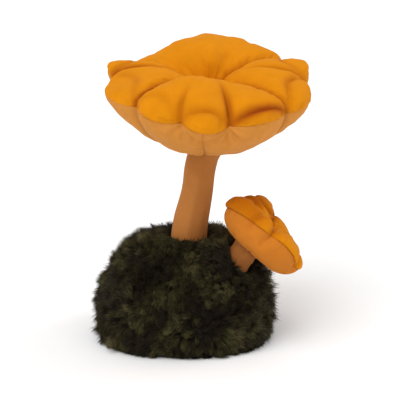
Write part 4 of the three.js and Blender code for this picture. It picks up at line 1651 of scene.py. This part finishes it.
@dataclass
class Mound:
    """A flat-bottomed mound of fur over its backing, measured at the tips of the fur."""

    stems: list[Stem]  # the stems that stand in it
    leaning_cap: Cap  # the cap that presses the fur down
    half_width: float = 58.4
    half_depth: float = 51.8
    height: float = 69.6
    plan_power: float = 2.6  # squareness from above
    profile_power: float = 2.6  # squareness from the front
    right_power: float = 0.3  # extra squareness of the right side
    hem_tuck: float = 0.04  # share by which the hem draws in
    swell: tuple = (30.5, -37.0, 13.0, 31.0)  # place, width and height of the rise at the short stem
    backing_inset: float = 4.6  # how far the backing's outer face lies inside the tips
    backing: float = 0.9  # thickness of the backing
    pile: Pile = field(default_factory=Pile)

    def surface(self, azimuth: Array, rise: Array, inset: float) -> Array:
        """Points of the mound.

        Formula: a super-ellipse in plan, scaled by a power of the cosine of the climb and lifted
        by the same power of its sine, drawn in at the hem and raised by a bell at the swell.

        Args:
            azimuth: degrees.
            rise: share of the way from the hem to the top.
            inset: distance inside the tips of the fur.

        Returns:
            Points with a last axis of 3.
        """
        angle = np.radians(azimuth)
        plan = (
            np.abs(np.cos(angle) / (self.half_width - inset)) ** self.plan_power
            + np.abs(np.sin(angle) / (self.half_depth - inset)) ** self.plan_power
        ) ** (-1 / self.plan_power)
        power = 2 / (self.profile_power + self.right_power * np.cos(angle))
        climb = rise * np.pi / 2
        level = np.sin(climb)
        hem = 1 - self.hem_tuck * (1 - level) ** 3
        radius = plan * np.maximum(np.cos(climb), 0) ** power * hem
        up = (self.height - inset) * level**power
        x, y = radius * np.cos(angle), radius * np.sin(angle)
        at_x, at_y, width, height = self.swell
        near = np.exp(-((x - at_x) ** 2 + (y - at_y) ** 2) / width**2)
        up = up + height * near * level**2
        return np.stack(np.broadcast_arrays(x, y, up), -1)

    def normals(self, azimuth: Array, rise: Array, inset: float) -> Array:
        """Unit normals of the mound, from differences of its surface."""
        along = self.surface(azimuth + AZIMUTH_STEP, rise, inset)
        along = along - self.surface(azimuth - AZIMUTH_STEP, rise, inset)
        up = self.surface(azimuth, np.minimum(rise + RISE_STEP, 1), inset)
        up = up - self.surface(azimuth, np.maximum(rise - RISE_STEP, 0), inset)
        return unit(np.cross(along, up))

    def backing_piece(self, wardrobe: Wardrobe) -> Object:
        """The fur's backing: a thin dome, open below, with a hole round each stem.

        Args:
            wardrobe: the finishes.

        Returns:
            The piece.
        """
        rows, columns = BACKING_GRID
        azimuth = np.linspace(0, 360, columns, endpoint=False)[None]
        rise = np.linspace(0, BACKING_TOP, rows)[:, None]
        outer = self.surface(azimuth, rise, self.backing_inset)
        inner = self.surface(azimuth, rise, self.backing_inset + self.backing)
        piece = body_object("mound_fur_backing", np.concatenate([inner[::-1], outer]))
        for stem in self.stems:
            rings, _ = stem.surface(*HOLE_GRID, False)
            cutter = body_object(f"{stem.name}_hole", rings)
            modifier = piece.modifiers.new("hole", "BOOLEAN")
            modifier.operation = "DIFFERENCE"
            modifier.object = cutter
            bpy.context.view_layer.objects.active = piece
            bpy.ops.object.modifier_apply(modifier=modifier.name)
            bpy.data.objects.remove(cutter)
        return dress(piece, wardrobe.backing, ["mound_fur_cover"])

    def roots(
        self, draw: np.random.Generator, count: int, low: float, high: float
    ) -> tuple[Array, Array]:
        """Random places spread evenly over a sector of the backing.

        Formula: candidates drawn evenly in azimuth and rise are kept in proportion to the area
        that a step in each covers, by even steps through the running sum of the areas.

        Args:
            draw: random numbers.
            count: number of places.
            low: first azimuth.
            high: last azimuth.

        Returns:
            Azimuths and rises.
        """
        azimuth = draw.uniform(low, high, count * CANDIDATES)
        rise = draw.uniform(0.0, FUR_TOP, count * CANDIDATES)
        here = self.surface(azimuth, rise, self.backing_inset)
        across = self.surface(azimuth + AZIMUTH_STEP, rise, self.backing_inset) - here
        up = self.surface(azimuth, rise + RISE_STEP, self.backing_inset) - here
        area = np.linalg.norm(np.cross(across, up), axis=-1)
        running = np.cumsum(area) / area.sum()
        chosen = np.searchsorted(running, (np.arange(count) + draw.uniform()) / count)
        chosen = np.minimum(chosen, len(azimuth) - 1)
        return azimuth[chosen], rise[chosen]

    def nap(self, points: Array, normals: Array) -> Array:
        """The direction in which the pile lies, along the backing.

        Formula: outwards and a little up on the upper slopes, downwards near the hem, swirled by
        a smooth field, less its part along the normal.

        Args:
            points: roots.
            normals: normals there.

        Returns:
            Unit vectors.
        """
        outward = unit(points * np.array([1.0, 1.0, 0.0]))
        low = smooth(1 - points[:, 2] / NAP_REACH)[:, None]
        down = np.array([0.0, 0.0, -1.0])
        swirl = np.stack([lumps.at(points) for lumps in NAP_SWIRLS], -1)
        lean = NAP_OUT * outward + (NAP_DOWN + NAP_DOWN_AT_HEM * low) * down + NAP_SWIRL * swirl
        lean = lean + NAP_BRUSHED * (1 - low)
        return unit(lean - (lean * normals).sum(-1, keepdims=True) * normals)

    def beside_stems(self, points: Array) -> tuple[Array, Array]:
        """How near roots are to a stem, from 0 to 1, and the direction away from that stem.

        Formula: the greatest over the stems of a bell of the distance to the stem's face.

        Args:
            points: roots.

        Returns:
            Shares and unit vectors.
        """
        most = np.zeros(len(points))
        away = np.zeros(points.shape)
        for stem, reach in zip(self.stems, STEM_REACH):
            _, off, distance, radius = stem.around(points)
            near = bell(np.maximum(distance - radius, 0), reach)
            away = np.where((near > most)[:, None], unit(off), away)
            most = np.maximum(most, near)
        return most, away

    def strands(
        self, places: tuple, tuft_places: tuple, draw: np.random.Generator
    ) -> tuple[Array, Array]:
        """The curves of strands.

        Formula: a strand rises along the normal as 1 - (1 - s) to a power and runs along the nap
        as s to a power, and is drawn towards its tuft's own curve in proportion to s. The pile
        lies flatter and shorter near the hem and is pushed aside by the stems.

        Args:
            places: azimuths and rises of the roots.
            tuft_places: azimuths and rises of the tufts.
            draw: random numbers.

        Returns:
            Points, strands by rings and tip by 3, and each strand's tuft.
        """
        s = np.append(RINGS_AT, 1.0)[None, :, None]
        lift = 1 - (1 - s) ** LIFT_POWER
        sweep = s**SWEEP_POWER
        pile = self.pile
        shared = np.random.default_rng(pile.seed)
        tuft_root = self.surface(*tuft_places, self.backing_inset)
        tuft_normal = self.normals(*tuft_places, self.backing_inset)
        stand, away = self.beside_stems(tuft_root)
        stray = pile.strays[0] * shared.normal(size=tuft_root.shape)
        nap = self.nap(tuft_root, tuft_normal) + stray
        tuft_nap = unit(nap + pile.parting * stand[:, None] * away)
        low = smooth(1 - tuft_root[:, 2] / HEM_REACH)
        tuft_length = pile.length * shared.uniform(*pile.tuft_lengths, len(tuft_root))
        hem = smooth(1 - tuft_root[:, 2] / SHORT_HEM_REACH)
        tuft_length *= (1 - pile.shortened[0] * stand) * (1 - pile.shortened[1] * hem)
        lie = pile.lie + (pile.hem_lie - pile.lie) * low + pile.stem_lie * stand
        tuft_lie = np.radians(lie + shared.normal(0, pile.lies[0], len(tuft_root)))
        tuft_gather = pile.gather * shared.uniform(*pile.gathers, len(tuft_root))
        root = self.surface(*places, self.backing_inset + ROOT_LIFT)
        normal = self.normals(*places, self.backing_inset)
        mine = nearest(root, tuft_root)

        def curve(start: Array, up: Array, flow: Array, length: Array, lie: Array) -> Array:
            """Points along strands from their roots."""
            rise = (length * np.cos(lie))[:, None, None] * lift * up[:, None]
            run = (length * np.sin(lie))[:, None, None] * sweep * flow[:, None]
            return start[:, None] + rise + run

        length = tuft_length[mine] * draw.uniform(*pile.strand_lengths, len(root))
        lie = tuft_lie[mine] + np.radians(draw.normal(0, pile.lies[1], len(root)))
        flow = unit(tuft_nap[mine] + pile.strays[1] * draw.normal(size=root.shape))
        own = curve(root, normal, flow, length, lie)
        tuft = curve(tuft_root, tuft_normal, tuft_nap, tuft_length, tuft_lie)[mine]
        own = own + (tuft - own) * tuft_gather[mine][:, None, None] * s
        return own, mine

    def cleared(self, points: Array) -> Array:
        """Moves points clear of the stems, of the leaning cap and of the floor.

        Args:
            points: points along strands.

        Returns:
            The points, moved where they need to be.
        """
        shape = points.shape
        flat = points.reshape(-1, 3).copy()
        for stem in self.stems:
            middle, off, distance, radius = stem.around(flat)
            radius = radius + STRAND_ROOM
            push = (radius / np.maximum(distance, TINY))[:, None]
            flat = np.where((distance < radius)[:, None], middle + off * push, flat)
        skin = self.leaning_cap.skin
        s = skin.sizes
        local = skin.local(flat)
        azimuth = np.degrees(np.arctan2(local[:, 1], local[:, 0]))
        reach = np.hypot(local[:, 0], local[:, 1])
        rim = skin.rim(azimuth)
        outer = rim["radius"] + CAP_MARGIN[0]
        share = np.clip((reach - s.neck) / (outer - s.neck), 0, 1)
        power = 2 / s.bowl_power
        climb = np.arccos(share ** (1 / power))
        level = rim["height"] * np.exp(-((climb / (np.pi / 2) / s.scallop_fade) ** FADE_POWER))
        level = level - s.bowl_depth * np.sin(climb) ** power - s.bowl_puff - CAP_ROOM
        above = (local[:, 2] > level) & (local[:, 2] < level + CAP_DEPTH)
        above &= reach < rim["radius"] + CAP_MARGIN[1]
        local[:, 2] = np.where(above, level, local[:, 2])
        flat = np.where(above[:, None], skin.world(local), flat)
        flat[:, 2] = np.maximum(flat[:, 2], LEAST_HEIGHT[0])
        return flat.reshape(shape)

    def fur_piece(
        self, number: int, tuft_places: tuple, tuft_shades: Array, wardrobe: Wardrobe
    ) -> Object:
        """A sector of the fur: three-sided strands, each closed at its root and its tip.

        Args:
            number: which sector.
            tuft_places: azimuths and rises of the tufts.
            tuft_shades: shade of each tuft, from 0 to 1.
            wardrobe: the finishes.

        Returns:
            The piece.
        """
        span = 360 / len(SECTORS)
        low = -90 - span / 2 + span * number
        draw = np.random.default_rng(self.pile.seed + 1 + number)
        places = self.roots(draw, self.pile.strands, low, low + span)
        curves, mine = self.strands(places, tuft_places, draw)
        root = curves[:, 0]
        keep = np.ones(len(root), bool)
        for stem in self.stems:
            _, _, distance, radius = stem.around(root)
            keep &= distance > radius + STEM_ROOM
        curves, mine = curves[keep], mine[keep]
        curves = self.cleared(curves)
        count, rings = len(curves), len(RINGS_AT)
        forward = unit(np.gradient(curves, axis=1))[:, :rings]
        around = unit(np.cross(forward, draw.normal(size=(count, 1, 3))))
        beside = np.cross(forward, around)
        width = self.pile.root_radius * draw.uniform(*self.pile.widths, (count, 1))
        width = width * RING_WIDTHS[None]
        turns = np.arange(3) * 2 * np.pi / 3
        across = np.cos(turns)[:, None] * around[:, :, None]
        across = across + np.sin(turns)[:, None] * beside[:, :, None]
        circle = curves[:, :rings, None] + width[:, :, None, None] * across
        points = np.concatenate([circle.reshape(count, rings * 3, 3), curves[:, rings:]], 1)
        points[..., 2] = np.maximum(points[..., 2], LEAST_HEIGHT[1])
        pairs = ((0, 1), (1, 2), (2, 0))
        last = 3 * (rings - 1)
        sides = [
            [3 * r + a, 3 * r + b, 3 * r + 3 + b, 3 * r + 3 + a]
            for r in range(rings - 1)
            for a, b in pairs
        ]
        ends = [[last + a, last + b, 3 * rings] for a, b in pairs] + [[2, 1, 0]]
        offset = (np.arange(count) * (3 * rings + 1))[:, None, None]
        quads = (np.array(sides)[None] + offset).reshape(-1, 4)
        triangles = (np.array(ends)[None] + offset).reshape(-1, 3)
        shade = np.clip(tuft_shades[mine] + draw.normal(0, SHADE_STRANDS, count), 0, 0.999)
        column = np.floor(shade * MAP_COLUMNS) / MAP_COLUMNS
        left, middle, right = MAP_STRAND / MAP_COLUMNS
        v = RINGS_AT * (MAP_TIP - MAP_ROOT) + MAP_ROOT
        faces = ((left, middle), (middle, right), (left, middle))
        side_uv = [
            [[a, v[r]], [b, v[r]], [b, v[r + 1]], [a, v[r + 1]]]
            for r in range(rings - 1)
            for a, b in faces
        ]
        end_uv = [[[left, v[-1]], [right, v[-1]], [middle, MAP_TIP]]] * 3
        end_uv += [[[left, MAP_ROOT], [right, MAP_ROOT], [middle, MAP_BASE]]]
        shift = np.stack([column, np.zeros(count)], -1)[:, None, None]
        uv = [(np.array(part)[None] + shift).reshape(-1, 2) for part in (side_uv, end_uv)]
        name = f"mound_fur_pile_{SECTORS[number]}"
        piece = mesh_object(name, points.reshape(-1, 3), quads, triangles, np.concatenate(uv))
        return dress(piece, wardrobe.fur, ["mound_fur_cover"])

    def build(self, wardrobe: Wardrobe) -> list[Object]:
        """Makes the backing and the fur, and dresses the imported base, filling and pellet bag.

        Args:
            wardrobe: the finishes.

        Returns:
            The new pieces.
        """
        draw = np.random.default_rng(self.pile.seed)
        tuft_places = self.roots(draw, self.pile.tufts, -180.0, 180.0)
        tuft_root = self.surface(*tuft_places, self.backing_inset)
        shades = SHADE_MIDDLE + SHADE_PATCHES * PATCH_LUMPS.at(tuft_root)
        shades = shades + draw.normal(0, SHADE_TUFTS, self.pile.tufts)
        made = [self.backing_piece(wardrobe)]
        for number in range(len(SECTORS)):
            made.append(self.fur_piece(number, tuft_places, shades, wardrobe))
        for node, material in (
            ("mound_base_panel", wardrobe.cloth),
            ("mound_filling", wardrobe.fibre),
            ("mound_pellet_bag", wardrobe.bag),
        ):
            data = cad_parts[node].data
            data.materials.clear()
            data.materials.append(material)
        return made


def nearest(points: Array, among: Array, chunk: int = 4000) -> Array:
    """The number of the nearest of some places to each point.

    Formula: the least of |place| squared - 2 point . place, a block of points at a time.

    Args:
        points: points, n by 3.
        among: places, m by 3.
        chunk: points to a block.

    Returns:
        Numbers of places, n.
    """
    square = (among**2).sum(1)
    return np.concatenate([
        np.argmin(square[None] - 2 * points[i:i + chunk] @ among.T, axis=1)
        for i in range(0, len(points), chunk)
    ])


# ---- Studio ----

WHITE = (1.0, 1.0, 1.0, 1.0)


@dataclass(frozen=True)
class Studio:
    """Floor, light and camera."""

    target: tuple[float, float, float] = (10.2, 0.0, 89.7)  # the point the camera looks at
    elevation: float = 16.0  # the camera's height above the horizon, in degrees
    pixel: float = 0.64  # millimetres to a pixel at the target
    picture: int = 400  # width of the picture in pixels
    lens: float = 135.0  # focal length
    sensor: float = 36.0  # width of the sensor
    surround: float = 0.7  # brightness of the pale surround
    lamps: tuple = (  # name, direction, spread in degrees and strength of each light
        ("key_light", (-0.35, -0.6, 1.0), 45, 1.5),
        ("edge_light", (0.9, 0.35, 0.5), 30, 0.5),
    )
    floor_half: float = 4000.0  # half the width of the floor
    floor_height: float = -0.1

    def camera(self) -> None:
        """Makes the camera.

        Formula: its distance is the picture's width at the target times lens over sensor.
        """
        data = bpy.data.cameras.new("studio_camera")
        data.lens = self.lens
        data.sensor_width = self.sensor
        made = linked("studio_camera", data)
        angle = math.radians(self.elevation)
        back = Vector((0, -math.cos(angle), math.sin(angle)))
        distance = self.pixel * self.picture * MM * self.lens / self.sensor
        made.location = Vector(self.target) * MM + back * distance
        made.rotation_euler = (-back).to_track_quat("-Z", "Y").to_euler()
        bpy.context.scene.camera = made

    def lights(self) -> None:
        """Makes a pale surround and two soft, broad lights."""
        world = bpy.data.worlds.new("studio_surround")
        world.use_nodes = True
        shade = world.node_tree.nodes["Background"]
        shade.inputs["Color"].default_value = WHITE
        shade.inputs["Strength"].default_value = self.surround
        bpy.context.scene.world = world
        for name, place, spread, strength in self.lamps:
            data = bpy.data.lights.new(name, "SUN")
            data.angle = math.radians(spread)
            data.energy = strength
            aim = (-Vector(place)).to_track_quat("-Z", "Y")
            linked(name, data).rotation_euler = aim.to_euler()
        bpy.context.scene.view_settings.view_transform = "Standard"

    def floor(self) -> None:
        """Makes a wide, plain pale floor just below the toy."""
        half, height = self.floor_half, self.floor_height
        corners = [(x * half, y * half, height) for x, y in ((-1, -1), (1, -1), (1, 1), (-1, 1))]
        mesh = bpy.data.meshes.new("studio_floor")
        mesh.from_pydata((np.array(corners) * MM).tolist(), [], [(0, 1, 2, 3)])
        material, graph, shader = new_finish("studio_floor")
        graph.fill(shader, {"Base Color": WHITE, "Roughness": 0.9})
        mesh.materials.append(material)
        linked("studio_floor", mesh)

    def build(self) -> None:
        """Makes the whole studio."""
        self.camera()
        self.lights()
        self.floor()


# ---- This toy's sizes ----

TALL_CAP = CapSizes(
    name="tall_cap",
    centre=(15.4, 0, 161.5),
    lean=6.15,
    toward=-76,
    turn=76,
    tack_radius=59,
    crown=10,
    dimple=10,
    dimple_radius=22,
    puff=6.4,
    puffs=(
        Puff(84, 36, 10.2),
        Puff(143, 13, -6.5),
        Puff(56, 12, -2.6),
        Puff(-118, 28, 2.6),
        Puff(-48, 24, -2.2),
        Puff(15, 40, 1.2),
    ),
    lobes=(
        Lobe(-137, 1.0, 4.5, -2.0, 11, 0.12, 5.0),
        Lobe(-106, -2.4, 7.5, -3.0, 9, 0.6, 7.0, 0.35),
        Lobe(-78, -3.6, 4.5, 0, 6.6, 1.0, 4.2, 0.95),
        Lobe(-38, -2.0, 5.5, -1.0, 16, 0.8, 3.9, 0.3),
        Lobe(3, 1.5, 7.0, 8.0, 18, 0.45, 0.8, 0.3, blend=5),
        *(
            Lobe(start, lift, 4.0, 0, 14, 0, 7.5, 0, blend=12)
            for start, lift in ((36, 2.5), (64, 0.5), (92, 0.5))
        ),
        Lobe(120, 0.0, 4.0, -0.5, 14, 0, 1.5, 0, blend=12),
        Lobe(150, 0.5, 7.5, 6.0, 18, 0.5, 0.8, 0.4, blend=5),
        Lobe(174, 2.5, 7.0, -0.5, 20, 0.4, -3.0, 0.25, blend=7),
    ),
    petal_seams=(
        Crease(-137, 0.95, 18, shade=0.9),
        Crease(-38, 0.9, 18, shade=0.6),
        Crease(36, 0.8, 20, shade=0.45),
        Crease(150, 0.85, 22, shade=0.5),
    ),
    tucks=(
        Crease(-106, 0.5, 9, 38, 62, 0.4),
        Crease(-78, 0.92, 13, 24, 56, 0.75),
        Crease(3, 0.6, 12, 14, 48, 0.4),
        *(Crease(azimuth, 0.2, 8, 56, 68, 0.2) for azimuth in (64, 92, 120)),
        Crease(174, 0.85, 12, 12, 46, 0.75),
    ),
    fold_width=6,
    rim_width=8,
    hub_width=6,
    bowl_depth=33.5,
    bowl_power=1.4,
    neck=13,
    neck_shift=0,
    bowl_puff=3,
    bowl_puffs=(Puff(-172, 26, -3.4), Puff(-8, 26, -3.0)),
    bowl_rim_width=20,
    neck_width=8,
    scallop_fade=0.28,
    gore_seams=(
        Crease(-93, 0.16, 4, shade=0.06),
        *(Crease(azimuth, 0.35, 5, shade=0.2) for azimuth in (3, 92, 174)),
    ),
    pleats=(
        Crease(-137, 0.7, 12, shade=0.3),
        Crease(-38, 0.7, 12, shade=0.3),
        Crease(36, 0.6, 12, shade=0.3),
        Crease(150, 0.6, 12, shade=0.3),
    ),
    tugs=(Puff(-78, 19, 2.0), Puff(-102, 13, 1.2)),
    petal_names=("front", "right", "back", "left"),
    gore_names=("front_right", "back_right", "back_left", "front_left"),
    top_rows=96,
    bowl_rows=72,
    column_pitch=1.0,
    underside="tan",
)

SHORT_CAP = CapSizes(
    name="short_cap",
    centre=(50.2, -24, 72.3),
    lean=44.6,
    toward=10.2,
    turn=-18,
    tack_radius=25.5,
    crown=4,
    dimple=5,
    dimple_radius=9,
    puff=6.5,
    puffs=(Puff(95, 70, 1.5),),
    lobes=(
        Lobe(165, -2.5, 4.5, -1.4, 7, 0.1, 10.5, rim_shade=0.62),
        Lobe(-118, 3.3, 4.0, 0.4, 7, 0.2, 9.0, rim_shade=0.4),
        Lobe(-88, 5.0, 4.0, 3.4, 7, 0.2, 6.5, rim_shade=0.15),
        Lobe(-22, 1.0, 4.0, -1.0, 7, 0.3, 4.0),
        Lobe(16, 3.0, 3.5, 0.5, 8, 0.2, 4.0),
        Lobe(52, 8.0, 3.5, 1.5, 8, 0.2, 3.5),
        Lobe(97, 12.5, 5.0, 3.5, 8, 0.5, 7.0, 0.5),
        Lobe(142, 11.5, 3.5, 1.0, 7, 0.2, 9.0, rim_shade=0.5),
    ),
    petal_seams=(
        Crease(-70, 0, 9, shade=0),
        Crease(16, 0.6, 9, shade=0.4),
        Crease(97, 0.85, 11, shade=0.6),
        Crease(-157, 0, 6, shade=0),
    ),
    tucks=(
        Crease(-118, 0.25, 8, 6, 24, 0.1),
        Crease(-88, 0.75, 10, 5, 18, 0.35),
        Crease(-22, 0.5, 8, 6, 24, 0.3),
        Crease(56, 0.5, 8, 6, 24, 0.4),
        Crease(150, 0.5, 8, 6, 24, 0.3),
    ),
    fold_width=4,
    rim_width=7,
    hub_width=4,
    bowl_depth=11.5,
    bowl_power=1.6,
    neck=8.8,
    neck_shift=-2.2,
    bowl_puff=1.5,
    bowl_puffs=(),
    bowl_rim_width=8,
    neck_width=5,
    scallop_fade=0.35,
    gore_seams=(
        Crease(-70, 0, 6, shade=0),
        Crease(16, 0.6, 8),
        Crease(92, 0.6, 8),
        Crease(-157, 0, 6, shade=0),
    ),
    pleats=(),
    tugs=(Puff(-30, 9, 0.7),),
    petal_names=("right", "back", "left", "front"),
    gore_names=("right", "back", "left", "front"),
    top_rows=66,
    bowl_rows=46,
    column_pitch=0.7,
    # The short cap's underside takes the warmer copy of the tan, with its painted reflection.
    underside="warm_tan",
)


def main() -> None:
    """Builds the toy in its studio."""
    logging.basicConfig(level=logging.INFO, format="%(name)s %(message)s")
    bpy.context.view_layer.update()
    wardrobe = Wardrobe()
    tall = Cap(TALL_CAP)
    short = Cap(SHORT_CAP)
    stems = [
        Stem(
            "tall_stem",
            ((1.5, 0, 54), (3.9, 0, 75), (8.6, 1.2, 100), (11.9, 2.4, 117)),
            tall,
            (11.6, 10.2, 9.5, 9.8, 10.6, 12.2, TALL_CAP.neck - 0.3),
        ),
        Stem(
            "short_stem",
            ((23, -21, 42.5), (31, -23, 53.5)),
            short,
            (9.0, 8.5, 8.4, SHORT_CAP.neck - 0.3),
            rings=50,
            sides=72,
            drag=0.2,
            # painted shadow of the short cap over its stem
            shade=0.5,
        ),
    ]
    Studio().build()
    tall.settle(Settling())
    short.settle(Settling(columns=112, top_rows=20, bowl_rows=18, limit=1.2))
    for part in (tall, short, *stems, Mound(stems, short)):
        log.info("%s: %d pieces", type(part).__name__, len(part.build(wardrobe)))


if __name__ == "__main__":
    main()
